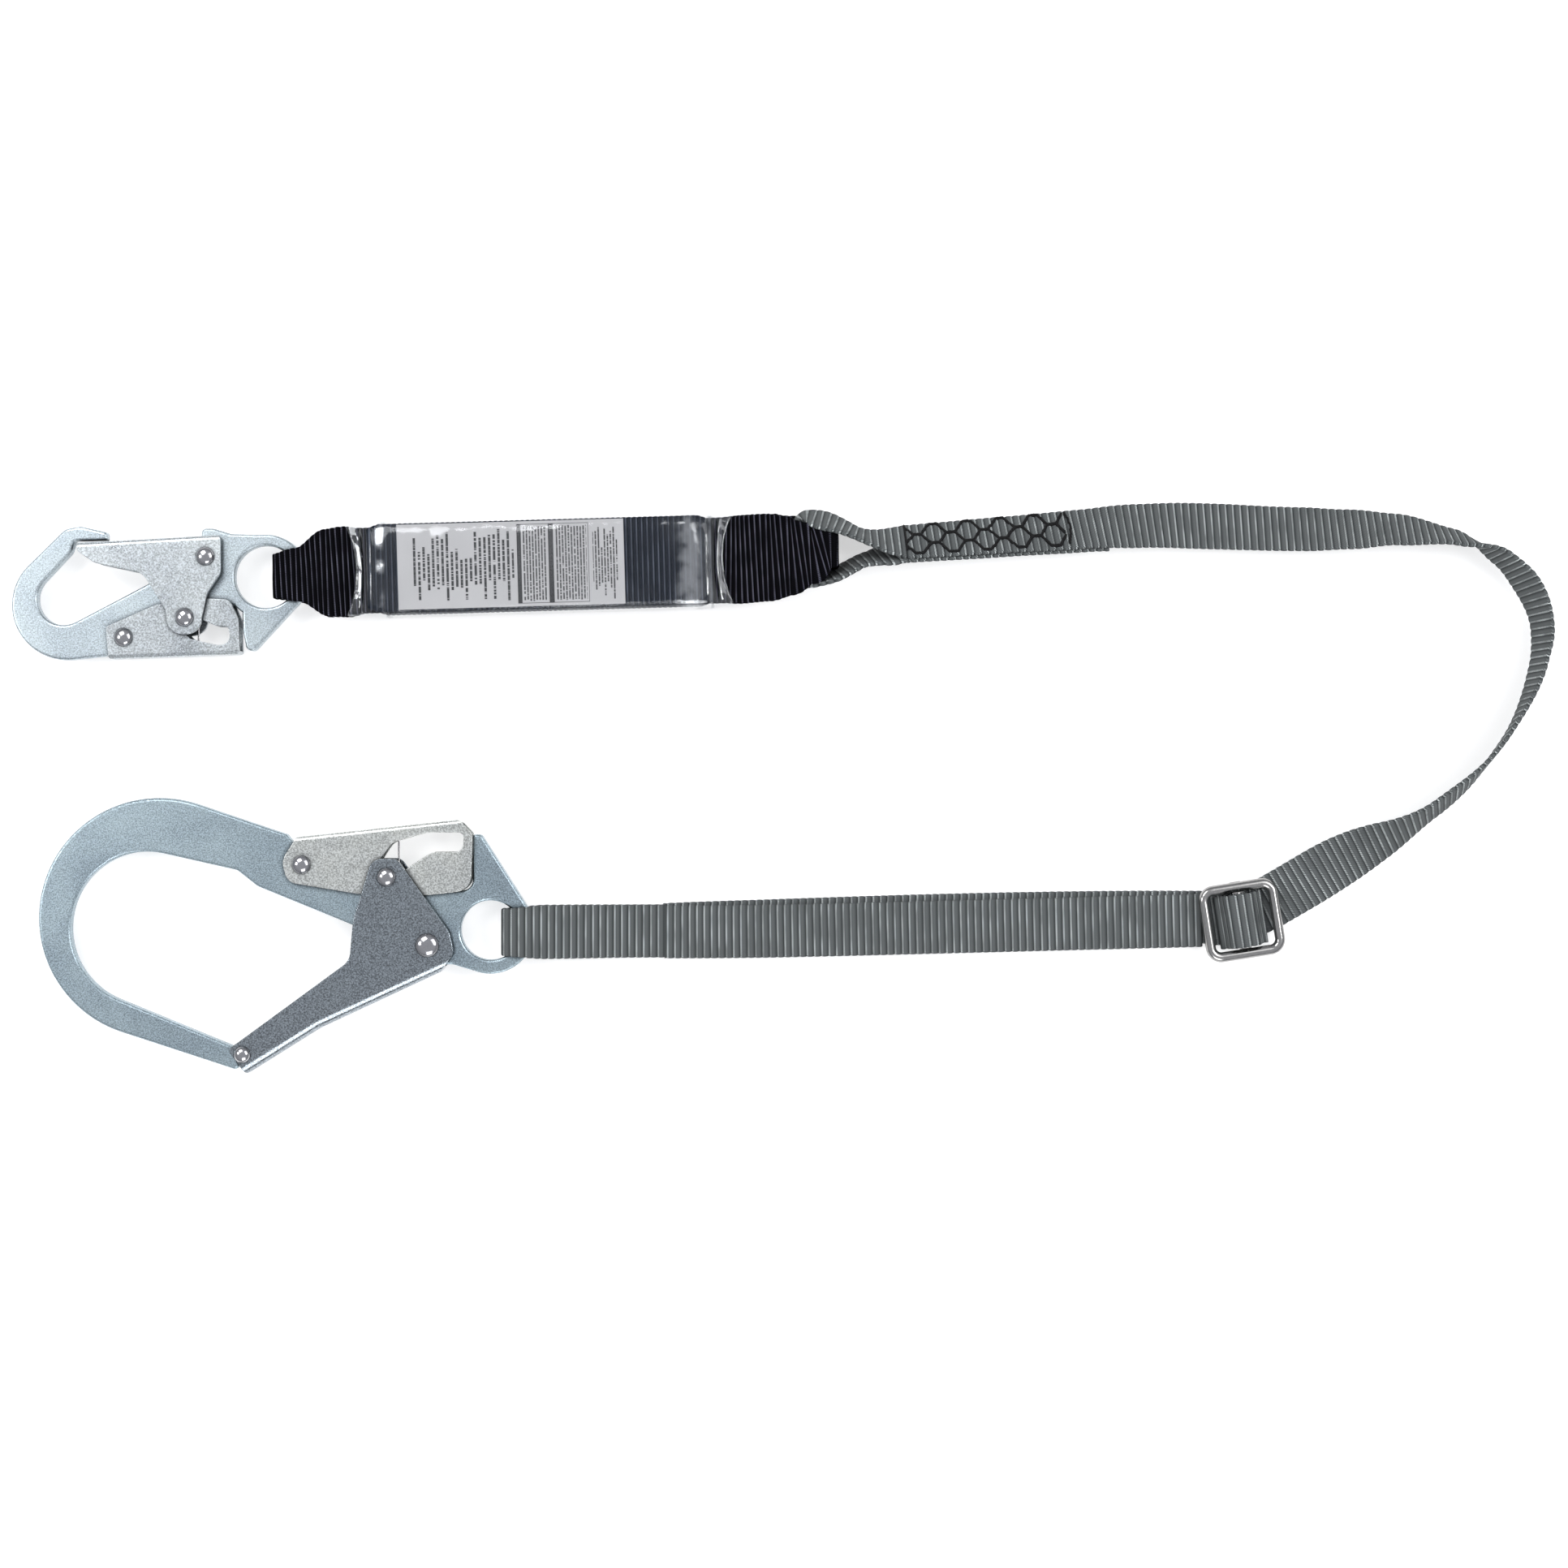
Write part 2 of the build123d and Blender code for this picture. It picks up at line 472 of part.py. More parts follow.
def return_webs():
    """The doubled webbing between the adjuster and the rebar hook."""
    top_start = (WEB_JOIN - 1.6, RETURN_Y_JOIN, WEB_HIGH)
    bottom_start = (*ADJUSTER_CENTRE, WEB_LOW)
    for name, start in (("return_web_top", top_start), ("return_web_bottom", bottom_start)):
        height = start[2]
        points = [start, (STRAIGHT_END, RETURN_Y_END, height), (40.0, -68.3, height), (8.0, -68.3, height)]
        path = Wire(FilletPolyline(*points, radius=[200, 200]).edges())
        shares = [0, 0.2, 0.4, 0.6, 0.68, 0.72, 0.76, 0.8, 0.84, 0.88, 0.92, 1]
        parts[name] = strap([(path @ s, path % s, 0, WEB_WIDTH) for s in shares])

    reach = 3.4 + WEB_THICK / 2
    crest = REBAR_EYE[0] + 6.1
    turn = [(7.7, WEB_HIGH), (-8.0, WEB_HIGH), (-48.0, HOOK_HEIGHT + reach), (crest, HOOK_HEIGHT + reach),
            (crest, HOOK_HEIGHT - reach), (-51.5, HOOK_HEIGHT - reach), (-28.0, WEB_LOW), (7.7, WEB_LOW)]
    loop = side_profile(turn, [40, 25, reach * 0.99, reach * 0.99, 25, 40], WEB_THICK, WEB_WIDTH)
    plan = make_face(Polyline((-80, -11.2), (-60, -11.2), (-48, -12.5), (20, -12.5), (20, 12.5), (-48, 12.5),
                              (-60, 11.2), (-80, 11.2), close=True))
    loop &= Pos(0, 0, -20) * extrude(plan, 60)
    skew = math.degrees(math.atan2(-68.3 - REBAR_EYE[1], 8.0 - crest))
    parts["hook_eye_turn"] = Pos(7.7, -68.3, 0) * Rot(0, 0, skew) * Pos(-7.7, 0, 0) * loop


def place_in_adjuster(solid, height):
    """Turn a piece about the adjuster's middle and lift it to its height."""
    return Pos(*ADJUSTER_CENTRE, height) * Rot(0, 0, ADJUSTER_TURN) * solid


def adjuster():
    """Bent wire frame, sliding bar and the webbing that wraps over the bar."""
    half_x = FRAME_LENGTH / 2 - FRAME_ROD
    half_y = FRAME_WIDTH / 2 - FRAME_ROD
    loop = RectangleRounded(2 * half_x, 2 * half_y, 5.0).face().outer_wire()
    rod = sweep(Plane(loop @ 0, z_dir=loop % 0) * Circle(FRAME_ROD), path=loop)
    parts["adjuster_frame"] = place_in_adjuster(rod, FRAME_HEIGHT)

    bar = Rot(90, 0, 0) * Cylinder(BAR_RADIUS, 26.4)
    for side in (1, -1):
        bar += Pos(0, side * 13.1, -0.85) * Box(5.0, 0.8, 4.8)
        bar += Pos(0, side * 15.6, -2.45) * Box(5.0, 5.4, 1.5)
    parts["adjuster_bar"] = place_in_adjuster(bar, BAR_HEIGHT)

    web_top = WEB_HIGH + WEB_THICK / 2 + 0.15 - BAR_HEIGHT
    arch = 2.1
    inner = BAR_RADIUS + 0.1
    wrap = Cylinder(inner + arch, WEB_WIDTH) - Cylinder(inner, WEB_WIDTH)
    wrap = Rot(90, 0, 0) * wrap
    wrap &= Pos(0, 0, web_top) * Box(20, WEB_WIDTH, 20, align=(Align.CENTER, Align.CENTER, Align.MIN))
    parts["adjuster_bar_wrap"] = place_in_adjuster(wrap, BAR_HEIGHT)

    crown = inner + 1.5 * arch + 0.1
    foot = web_top + arch / 2
    hump = [(-11.3, foot), (-8.2, foot), (-5.4, crown), (5.4, crown), (8.2, foot), (11.3, foot)]
    parts["adjuster_hump"] = place_in_adjuster(side_profile(hump, [1.6, 4.2, 4.2, 1.6], arch, WEB_WIDTH),
                                               BAR_HEIGHT)


snap_hook()
rebar_hook()
absorber()
leg_webbing()
leg_eye()
return_webs()
adjuster()

os.makedirs("parts", exist_ok=True)
for name, solid in parts.items():
    export_step(solid, f"parts/{name}.step")
    print(name, solid.is_valid, len(solid.solids()), round(solid.volume))
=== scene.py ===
"""Shock absorbing lanyard: the looks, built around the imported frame."""

import json
import math
import random

import bpy
from mathutils import Matrix, Vector, noise

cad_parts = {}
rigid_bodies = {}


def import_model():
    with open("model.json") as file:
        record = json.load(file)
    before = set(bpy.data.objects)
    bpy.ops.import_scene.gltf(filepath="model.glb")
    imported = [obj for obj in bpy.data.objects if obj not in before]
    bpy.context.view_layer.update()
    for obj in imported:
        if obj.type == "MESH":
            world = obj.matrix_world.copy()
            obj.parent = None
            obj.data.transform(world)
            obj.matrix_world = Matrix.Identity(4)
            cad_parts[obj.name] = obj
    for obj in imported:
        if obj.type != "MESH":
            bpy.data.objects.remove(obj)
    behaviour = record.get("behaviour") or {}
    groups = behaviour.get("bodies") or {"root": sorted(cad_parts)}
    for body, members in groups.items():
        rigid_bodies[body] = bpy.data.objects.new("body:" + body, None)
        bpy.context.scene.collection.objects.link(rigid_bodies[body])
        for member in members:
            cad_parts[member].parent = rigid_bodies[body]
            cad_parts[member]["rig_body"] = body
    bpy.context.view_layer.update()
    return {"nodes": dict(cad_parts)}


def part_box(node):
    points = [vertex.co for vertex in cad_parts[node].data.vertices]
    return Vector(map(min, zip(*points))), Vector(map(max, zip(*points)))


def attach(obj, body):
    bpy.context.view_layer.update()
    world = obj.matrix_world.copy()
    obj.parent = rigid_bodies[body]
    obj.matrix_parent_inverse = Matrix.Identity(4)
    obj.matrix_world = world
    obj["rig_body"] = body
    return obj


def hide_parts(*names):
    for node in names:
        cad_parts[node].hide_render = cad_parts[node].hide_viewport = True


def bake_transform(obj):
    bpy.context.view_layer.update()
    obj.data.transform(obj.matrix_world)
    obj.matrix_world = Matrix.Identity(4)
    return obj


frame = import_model()

MM = 0.001
UP = Vector((0, 0, 1))

# Grey leg webbing, black loops and tear webbing
WEB_WIDTH = 25.0 * MM
WEB_THICK = 2.2 * MM
WEB_LOW = 1.1 * MM            # middle height of a strap on the floor
WEB_HIGH = 3.5 * MM           # middle height of the strap above it
TEAR_THICK = 2.3 * MM
LOOP_WIDTH = 40.0 * MM
GREY_PITCH = 3.5 * MM         # from rib to rib
BLACK_PITCH = 2.5 * MM
LINING_PITCH = 1.6 * MM
YARN = 0.84 * MM
LINING_YARN = 0.9 * MM

# Absorber pack
PACK_PLACE = Matrix.Translation((-49.9 * MM, 105.6 * MM, 0)) @ Matrix.Rotation(math.radians(1.63), 4, "Z")
PACK_MIDDLE = 13.5 * MM
STACK_HALF = 81 * MM
LOWER_STACK = 1.2 * MM        # underside of each stack of tear webbing
UPPER_STACK = 17.4 * MM
SLEEVE_HALF = 91.4 * MM
FILM_WALL = 0.35 * MM
LABEL_LOW = -66.0 * MM
LABEL_HIGH = 40.2 * MM
LABEL_HALF = 19.9 * MM
LABEL_HEIGHT = 25.05 * MM

# Hooks and adjuster
HOOK_HEIGHT = 9.6 * MM
HOOK_REACH = 3.4 * MM         # from the hook's middle plane to the inner face of a strap round its eye
HEAD_HEIGHT = 2.5 * MM
PIN_RADIUS = 2.0 * MM
ADJUSTER_CENTRE = Vector((0.2826, -0.0624, 0))
ADJUSTER_TURN = 9
BAR_HEIGHT = 8.0 * MM
BAR_CLEAR = 2.6 * MM          # radius just outside the adjuster's bar


# ---------------------------------------------------------------- camera, light and floor

def studio():
    """A camera straight above, soft light and a plain pale floor."""
    camera = bpy.data.objects.new("camera", bpy.data.cameras.new("camera"))
    bpy.context.collection.objects.link(camera)
    camera.location = (65.07 * MM, 2.31 * MM, 1.110)
    camera.data.lens = 53.2
    camera.data.sensor_width = 36
    camera.data.clip_start = 0.01
    bpy.context.scene.camera = camera

    world = bpy.data.worlds.new("world")
    bpy.context.scene.world = world
    world.use_nodes = True
    nodes, links = world.node_tree.nodes, world.node_tree.links
    direction = nodes.new("ShaderNodeSeparateXYZ")
    links.new(nodes.new("ShaderNodeTexCoord").outputs["Generated"], direction.inputs[0])
    sky = nodes.new("ShaderNodeValToRGB")
    links.new(direction.outputs[2], sky.inputs[0])
    sky.color_ramp.elements[0].position = 0.08
    sky.color_ramp.elements[0].color = (0.52, 0.54, 0.57, 1)
    sky.color_ramp.elements[1].position = 0.80
    sky.color_ramp.elements[1].color = (0.93, 0.95, 1.0, 1)
    links.new(sky.outputs[0], nodes["Background"].inputs["Color"])
    nodes["Background"].inputs["Strength"].default_value = 0.62
    bpy.context.scene.view_settings.view_transform = "Standard"

    area_light("key_light", (-0.7, 0.9, 1.3), 0.8, 11)
    area_light("fill_light", (0.9, 0.5, 1.2), 1.0, 6)
    area_light("low_light", (0.1, -1.2, 0.9), 0.8, 7)
    area_light("west_strip", (-1.1, 0.12, 1.0), 0.34, 5.0)
    area_light("east_strip", (0.95, 0.12, 1.1), 0.34, 5.0)

    bpy.ops.mesh.primitive_plane_add(size=8, location=(0.06, 0, -0.0004))
    floor = bpy.context.object
    floor.name = "floor"
    white = plain_material("floor_white", (0.62, 0.62, 0.62), 0.9)
    glow = white.node_tree.nodes["Principled BSDF"].inputs
    glow["Emission Color"].default_value = (1, 1, 1, 1)
    glow["Emission Strength"].default_value = 0.55
    floor.data.materials.append(white)


def area_light(name, place, size, power):
    """A square soft light aimed at the middle of the lanyard."""
    light = bpy.data.lights.new(name, "AREA")
    light.size = size
    light.energy = power
    lamp = bpy.data.objects.new(name, light)
    bpy.context.collection.objects.link(lamp)
    lamp.location = place
    lamp.rotation_euler = (Vector((0.06, 0, 0)) - Vector(place)).to_track_quat("-Z", "Y").to_euler()


# ---------------------------------------------------------------- material building

class Shader:
    """A short way to write a node material."""

    def __init__(self, name, **sockets):
        self.material = bpy.data.materials.new(name)
        self.material.use_nodes = True
        self.tree = self.material.node_tree
        self.surface = self.tree.nodes["Principled BSDF"]
        for socket, value in sockets.items():
            self.surface.inputs[socket.replace("_", " ")].default_value = value

    def node(self, kind, inputs=None, **settings):
        made = self.tree.nodes.new(kind)
        for key, value in settings.items():
            setattr(made, key, value)
        for key, value in (inputs or {}).items():
            self.feed(made.inputs[key], value)
        return made

    def feed(self, socket, value):
        if isinstance(value, bpy.types.NodeSocket):
            self.tree.links.new(value, socket)
        else:
            socket.default_value = value

    def math(self, operation, a, b=0.0, c=0.0):
        return self.node("ShaderNodeMath", {0: a, 1: b, 2: c}, operation=operation).outputs[0]

    def uv(self):
        """Distance along and across the piece, in metres."""
        split = self.node("ShaderNodeSeparateXYZ", {0: self.node("ShaderNodeUVMap").outputs[0]})
        return split.outputs[0], split.outputs[1]

    def object_place(self):
        return self.node("ShaderNodeTexCoord").outputs["Object"]

    def noise(self, scale, detail=2.0, vector=None, roughness=0.5):
        where = self.object_place() if vector is None else vector
        made = self.node("ShaderNodeTexNoise", {"Vector": where, "Scale": scale, "Detail": detail,
                                                "Roughness": roughness})
        return made.outputs[0]

    def span(self, value, low, high, start=0.0, end=1.0, smooth=False):
        """From start to end while value goes from low to high."""
        kind = "SMOOTHSTEP" if smooth else "LINEAR"
        made = self.node("ShaderNodeMapRange", {"Value": value, "From Min": low, "From Max": high,
                                                "To Min": start, "To Max": end}, interpolation_type=kind)
        return made.outputs[0]

    def band(self, value, low, high, soft):
        """1 between low and high, with soft ends."""
        rise = self.span(value, low - soft, low + soft, smooth=True)
        fall = self.span(value, high - soft, high + soft, 1.0, 0.0, smooth=True)
        return self.math("MULTIPLY", rise, fall)

    def mix(self, share, a, b):
        """A colour between a and b."""
        a = (*a, 1) if isinstance(a, tuple) else a
        b = (*b, 1) if isinstance(b, tuple) else b
        made = self.node("ShaderNodeMix", data_type="RGBA")
        self.feed(made.inputs[0], share)
        self.feed(made.inputs[6], a)
        self.feed(made.inputs[7], b)
        return made.outputs[2]

    def bump(self, height, distance, strength=1.0, below=None):
        made = self.node("ShaderNodeBump", {"Height": height, "Distance": distance, "Strength": strength})
        if below is not None:
            self.feed(made.inputs["Normal"], below)
        return made.outputs[0]

    def set(self, socket, value):
        self.feed(self.surface.inputs[socket], value)


def plain_material(name, colour, roughness):
    """One colour with faint mottling."""
    shader = Shader(name, Roughness=roughness)
    dark = tuple(c * 0.97 for c in colour)
    shader.set("Base Color", shader.mix(shader.noise(6.0), colour, dark))
    return shader.material


def webbing_material(name, ground_and_groove_shade, light, fleck, pitch, yarn, gloss=0.15):
    """Woven webbing: cross ribs with painted shade between them, fine slanted yarns and a row of bright
    flecks beside each rib.
    """
    shader = Shader(name, Roughness=0.8, Specular_IOR_Level=gloss)
    along, across = shader.uv()
    phase = shader.math("FRACT", shader.math("DIVIDE", along, pitch))
    slanted = shader.math("ADD", across, shader.math("MULTIPLY", along, 0.55))
    yarn_wave = shader.math("SINE", shader.math("MULTIPLY", slanted, 2 * math.pi / yarn))
    yarn_level = shader.math("MULTIPLY_ADD", yarn_wave, 0.5, 0.5)
    patchy = shader.noise(90.0, 3.0)
    # Painted shade: the colour falls from the light colour on each rib's crest to the ground colour in the
    # groove between ribs; the slanted yarn stripes mixed in are the weave's own.
    crest = shader.math("SINE", shader.math("MULTIPLY", phase, math.pi))
    tone = shader.math("MULTIPLY", crest, shader.math("MULTIPLY_ADD", yarn_level, 0.45, 0.55))
    colour = shader.mix(tone, ground_and_groove_shade, light)
    row = shader.band(phase, 0.74, 0.98, 0.05)
    fleck_on = shader.band(yarn_level, 0.42, 1.4, 0.16)
    uneven = shader.span(patchy, 0.35, 0.65, 0.35, 1.0)
    share = shader.math("MULTIPLY", shader.math("MULTIPLY", row, fleck_on), uneven)
    colour = shader.mix(share, colour, fleck)
    shader.set("Base Color", colour)
    lift = shader.math("ADD", shader.math("MULTIPLY", yarn_level, 0.6), shader.math("MULTIPLY", share, 0.6))
    shader.set("Normal", shader.bump(lift, 0.00022, 0.8))
    return shader.material


def metal_material(name, colour, roughness, grain, spangle=0.12, clouding=0.25, relief=0.35, plate=True):
    """Plated steel: fine speckle, soft clouding, rubbed, slightly uneven gloss, and painted shade where parts
    meet.
    """
    shader = Shader(name, Metallic=1.0)
    speckle = shader.noise(grain, 2.0, roughness=0.6)
    clouds = shader.noise(42.0, 4.0)
    pale = tuple(min(c * (1 + spangle), 1.0) for c in colour)
    deep = tuple(c * (1 - spangle) for c in colour)
    tone = shader.span(speckle, 0.35, 0.65)
    base = shader.mix(tone, deep, pale)
    haze = shader.span(clouds, 0.35, 0.7, 0.0, clouding)
    yellow = (colour[0] * 0.98, colour[1] * 0.95, colour[2] * 0.84)
    face = shader.mix(haze, base, yellow)
    worn_edge = None
    if plate:
        # Painted shade: where an occlusion test finds surfaces close by, in crevices and where parts meet,
        # the colour darkens towards a near-black copy of itself.
        crevice = shader.node("ShaderNodeAmbientOcclusion", {"Distance": 2.6 * MM}, samples=8).outputs["AO"]
        painted_crevice_shade = shader.span(crevice, 0.45, 0.95)
        face = shader.mix(painted_crevice_shade, tuple(c * 0.16 for c in colour), face)
        worn_edge = shader.node("ShaderNodeBevel", {"Radius": 0.7 * MM}, samples=4).outputs[0]
    shader.set("Base Color", face)
    gloss = shader.span(clouds, 0.3, 0.7, roughness * 0.85, roughness * 1.2)
    shader.set("Roughness", gloss)
    drawn_out = shader.node("ShaderNodeMapping", {
        "Vector": shader.object_place(), "Scale": (1.0, 14.0, 3.0), "Rotation": (0.0, 0.0, 0.5)}).outputs[0]
    scratches = shader.noise(160.0, 1.0, drawn_out)
    under = shader.bump(scratches, 0.00005, relief * 0.8, worn_edge)
    shader.set("Normal", shader.bump(speckle, 0.00012, relief, under))
    return shader.material


def film_material():
    """Clear shrink film: nearly clear where flat, hazier at its ends, with painted reflection on its sides
    and painted streaks of glare.
    """
    shader = Shader("clear_film", Roughness=0.13, IOR=1.45, Metallic=1.0)
    along, _ = shader.uv()
    end = shader.span(shader.math("ABSOLUTE", along), 0.078, 0.083, smooth=True)
    crinkle = shader.noise(46.0, 2.5)
    smear = shader.noise(24.0, 3.0)
    shader.set("Base Color", shader.mix(smear, (0.80, 0.84, 0.88), (0.95, 0.96, 0.97)))
    cloudy = shader.span(smear, 0.4, 0.7, 0.014, 0.055)
    # Painted reflection: faces of the film that turn away from upright get extra mirror cover, standing in
    # for the glancing reflection on its steep sides.
    normal = shader.node("ShaderNodeNewGeometry").outputs["Normal"]
    upright = shader.math("ABSOLUTE", shader.node("ShaderNodeSeparateXYZ", {0: normal}).outputs[2])
    side = shader.span(upright, 0.85, 0.25, 0.0, 0.07)
    thick = shader.math("MULTIPLY_ADD", end, 0.035, cloudy)
    # Painted glare: bands across the film, broken up by blotches, get extra mirror cover so that they show as
    # bright streaks.
    blotch = shader.span(shader.noise(90.0, 2.0), 0.36, 0.60, smooth=True)
    painted_glare_bands = ((-75.4, -72.6, 1.2, 0.36), (66.0, 75.0, 4.0, 0.24), (79.8, 81.0, 0.8, 0.30))
    for low, high, soft, share in painted_glare_bands:
        painted_glare = shader.math("MULTIPLY", shader.band(along, low * MM, high * MM, soft * MM), blotch)
        thick = shader.math("MULTIPLY_ADD", painted_glare, share, thick)
    # The alpha is the film's own haze in thick, the painted glare added to it, and the painted side
    # reflection.
    shader.set("Alpha", shader.math("ADD", thick, side))
    shader.set("Normal", shader.bump(crinkle, 0.0024, 0.65))
    return shader.material


def label_material():
    """A pale printed card: plain bars, boxes and rows of marks that say nothing."""
    shader = Shader("label_paper", Roughness=0.55)
    along, across = shader.uv()
    paper = shader.mix(shader.noise(60.0), (0.345, 0.345, 0.355), (0.41, 0.41, 0.42))

    def row_marks(low, high, pitch, reach, seed, ragged):
        """Rows of short marks between two places along the card, with more or less ragged ends."""
        turns = shader.math("DIVIDE", along, pitch)
        line = shader.band(shader.math("FRACT", turns), 0.24, 0.76, 0.08)
        row = shader.math("MULTIPLY_ADD", shader.math("FLOOR", turns), 7.3, seed)
        cell = shader.node("ShaderNodeCombineXYZ", {0: row, 1: across}).outputs[0]
        letters = shader.noise(1500.0, 1.0, shader.node("ShaderNodeMapping", {
            "Vector": cell, "Scale": (0.37, 1.0, 1.0)}).outputs[0])
        marks = shader.band(letters, 0.41, 1.5, 0.03)
        top = shader.node("ShaderNodeTexWhiteNoise", {"W": row}, noise_dimensions="1D").outputs[0]
        foot = shader.node("ShaderNodeTexWhiteNoise", {"W": shader.math("ADD", row, 0.37)},
                           noise_dimensions="1D").outputs[0]
        below_top = shader.math("LESS_THAN", across, shader.math("MULTIPLY_ADD", top, -ragged * 1.3, reach))
        above_foot = shader.math("GREATER_THAN", across, shader.math("MULTIPLY_ADD", foot, ragged, -reach))
        inside = shader.math("MULTIPLY", shader.band(along, low, high, 0.0001),
                             shader.math("MULTIPLY", below_top, above_foot))
        return shader.math("MULTIPLY", shader.math("MULTIPLY", line, marks), inside)

    def solid(low, high, bottom, top):
        return shader.math("MULTIPLY", shader.band(along, low, high, 0.0001),
                           shader.band(across, bottom, top, 0.0001))

    ink = row_marks(-46.5 * MM, 1.5 * MM, 2.2 * MM, 17 * MM, 3.1, 11 * MM)
    boxes = ((3.0, 5.0, -18.6, 18.6, 1.0), (17.7, 20.1, -18.6, 18.6, 1.0), (3.0, 36.6, 18.3, 18.6, 0.8),
             (3.0, 36.6, -18.6, -18.3, 0.8), (36.3, 36.6, -18.6, 18.6, 0.8))
    for low, high, bottom, top, weight in boxes:
        block = solid(low * MM, high * MM, bottom * MM, top * MM)
        ink = shader.math("MAXIMUM", ink, shader.math("MULTIPLY", block, weight))
    for low, high, seed, ragged in ((5.8, 17.0, 9.7, 0.6), (20.9, 35.6, 4.4, 0.6), (38.5, 50.0, 6.6, 9.0)):
        ink = shader.math("MAXIMUM", ink, shader.math(
            "MULTIPLY", row_marks(low * MM, high * MM, 1.4 * MM, 17.6 * MM, seed, ragged * MM), 0.95))
    shader.set("Base Color", shader.mix(ink, paper, (0.006, 0.006, 0.008)))
    shader.set("Normal", shader.bump(shader.noise(400.0), 0.0001, 0.2))
    return shader.material


def thread_material():
    """Bonded black thread with its twist."""
    shader = Shader("black_thread", Roughness=0.75, Specular_IOR_Level=0.2)
    twist = shader.node("ShaderNodeTexWave", {"Vector": shader.object_place(), "Scale": 900.0,
                                              "Distortion": 2.0}).outputs["Fac"]
    shader.set("Base Color", shader.mix(twist, (0.001, 0.001, 0.001), (0.006, 0.006, 0.007)))
    shader.set("Normal", shader.bump(twist, 0.0001, 0.5))
    return shader.material


# ---------------------------------------------------------------- straps

def spline_points(route, step):
    """Points a step apart on the NURBS line of a route."""
    curve = bpy.data.curves.new("route", "CURVE")
    curve.dimensions = "3D"
    curve.resolution_u = 48
    spline = curve.splines.new("NURBS")
    spline.points.add(len(route) - 1)
    for point, place in zip(spline.points, route):
        point.co = (*place, 1)
    spline.order_u = 3
    spline.use_endpoint_u = True
    carrier = bpy.data.objects.new("route", curve)
    mesh = bpy.data.meshes.new_from_object(carrier)
    line = [v.co.copy() for v in mesh.vertices]
    bpy.data.objects.remove(carrier)
    bpy.data.meshes.remove(mesh)
    return evenly(line, step)


def evenly(line, step):
    """The line again, with points a step apart."""
    lengths = [0.0]
    for a, b in zip(line, line[1:]):
        lengths.append(lengths[-1] + (b - a).length)
    count = max(int(round(lengths[-1] / step)), 2)
    out = []
    index = 0
    for i in range(count + 1):
        wanted = lengths[-1] * i / count
        while index < len(lengths) - 2 and lengths[index + 1] < wanted:
            index += 1
        span = lengths[index + 1] - lengths[index]
        share = (wanted - lengths[index]) / span if span else 0.0
        out.append(line[index].lerp(line[index + 1], share))
    return out


def interpolate(table, value):
    """A smooth value between the rows (place, value, ...) of a table."""
    if value <= table[0][0]:
        return table[0][1:]
    for low, high in zip(table, table[1:]):
        if value <= high[0]:
            share = (value - low[0]) / (high[0] - low[0])
            share = share * share * (3 - 2 * share)
            return tuple(a + (b - a) * share for a, b in zip(low[1:], high[1:]))
    return table[-1][1:]


def line_length(line):
    """Length of a line of points."""
    return sum((b - a).length for a, b in zip(line, line[1:]))


def travel_at(line, i):
    """Direction of travel at point i of a line."""
    return (line[min(i + 1, len(line) - 1)] - line[max(i - 1, 0)]).normalized()


def tilted_across(travel, tilt):
    """Level direction across a travel, then tilted by degrees about it."""
    left = Vector((-travel.y, travel.x, 0)).normalized()
    angle = math.radians(tilt)
    return left * math.cos(angle) + UP * math.sin(angle)


# The rounded selvage: place across as a share of half the width, and its share of the thickness
FLAT_FROM = -0.85
EDGE = ((-1.0, 0.30), (-0.985, 0.72), (-0.95, 0.96), (FLAT_FROM, 1.0))


def section_shares(cells):
    """Places across a strap from edge to edge, each with its share of the thickness."""
    middle = [(FLAT_FROM - 2 * FLAT_FROM * i / cells, 1.0) for i in range(1, cells)]
    right = [(-place, share) for place, share in reversed(EDGE)]
    return list(EDGE) + middle + right


def strap(name, line, acrosses, widths, thickness, pitch, material, depth=0.30, cells=8, start=0.0,
          crumple=0.0):
    """A woven strap along a line: ribbed faces, rounded selvages and closed ends.

    depth is the share of the thickness that the ribs take, and start the rib phase as a distance.
    """
    edge_swell = 0.35 * MM
    shares = section_shares(cells)
    verts = []
    faces = []
    uvs = []
    along = start
    ring = 2 * len(shares)
    for i, centre in enumerate(line):
        if i:
            along += (centre - line[i - 1]).length
        travel = travel_at(line, i)
        across = acrosses[i] - travel * acrosses[i].dot(travel)
        across.normalize()
        normal = travel.cross(across)
        rib = abs(math.sin(math.pi * along / pitch)) ** 0.55
        edge_rib = 1 + edge_swell / widths[i] * (rib - 0.5) * 2
        level = thickness / 2 * (1 - depth * (1 - rib))
        for side in (1, -1):
            order = shares if side == 1 else list(reversed(shares))
            for place, share in order:
                reach = place * widths[i] / 2 * edge_rib
                wobble = crumple * noise.noise(Vector((along * 45, reach * 60, 3.7)))
                verts.append(centre + across * reach + normal * (side * level * share + wobble))
                uvs.append((along, reach))
    count = len(line)
    for i in range(count - 1):
        for j in range(ring):
            k = (j + 1) % ring
            faces.append((i * ring + j, (i + 1) * ring + j, (i + 1) * ring + k, i * ring + k))
    faces.append(tuple(range(ring)))
    faces.append(tuple(reversed(range((count - 1) * ring, count * ring))))
    return mesh_piece(name, verts, faces, uvs, material)


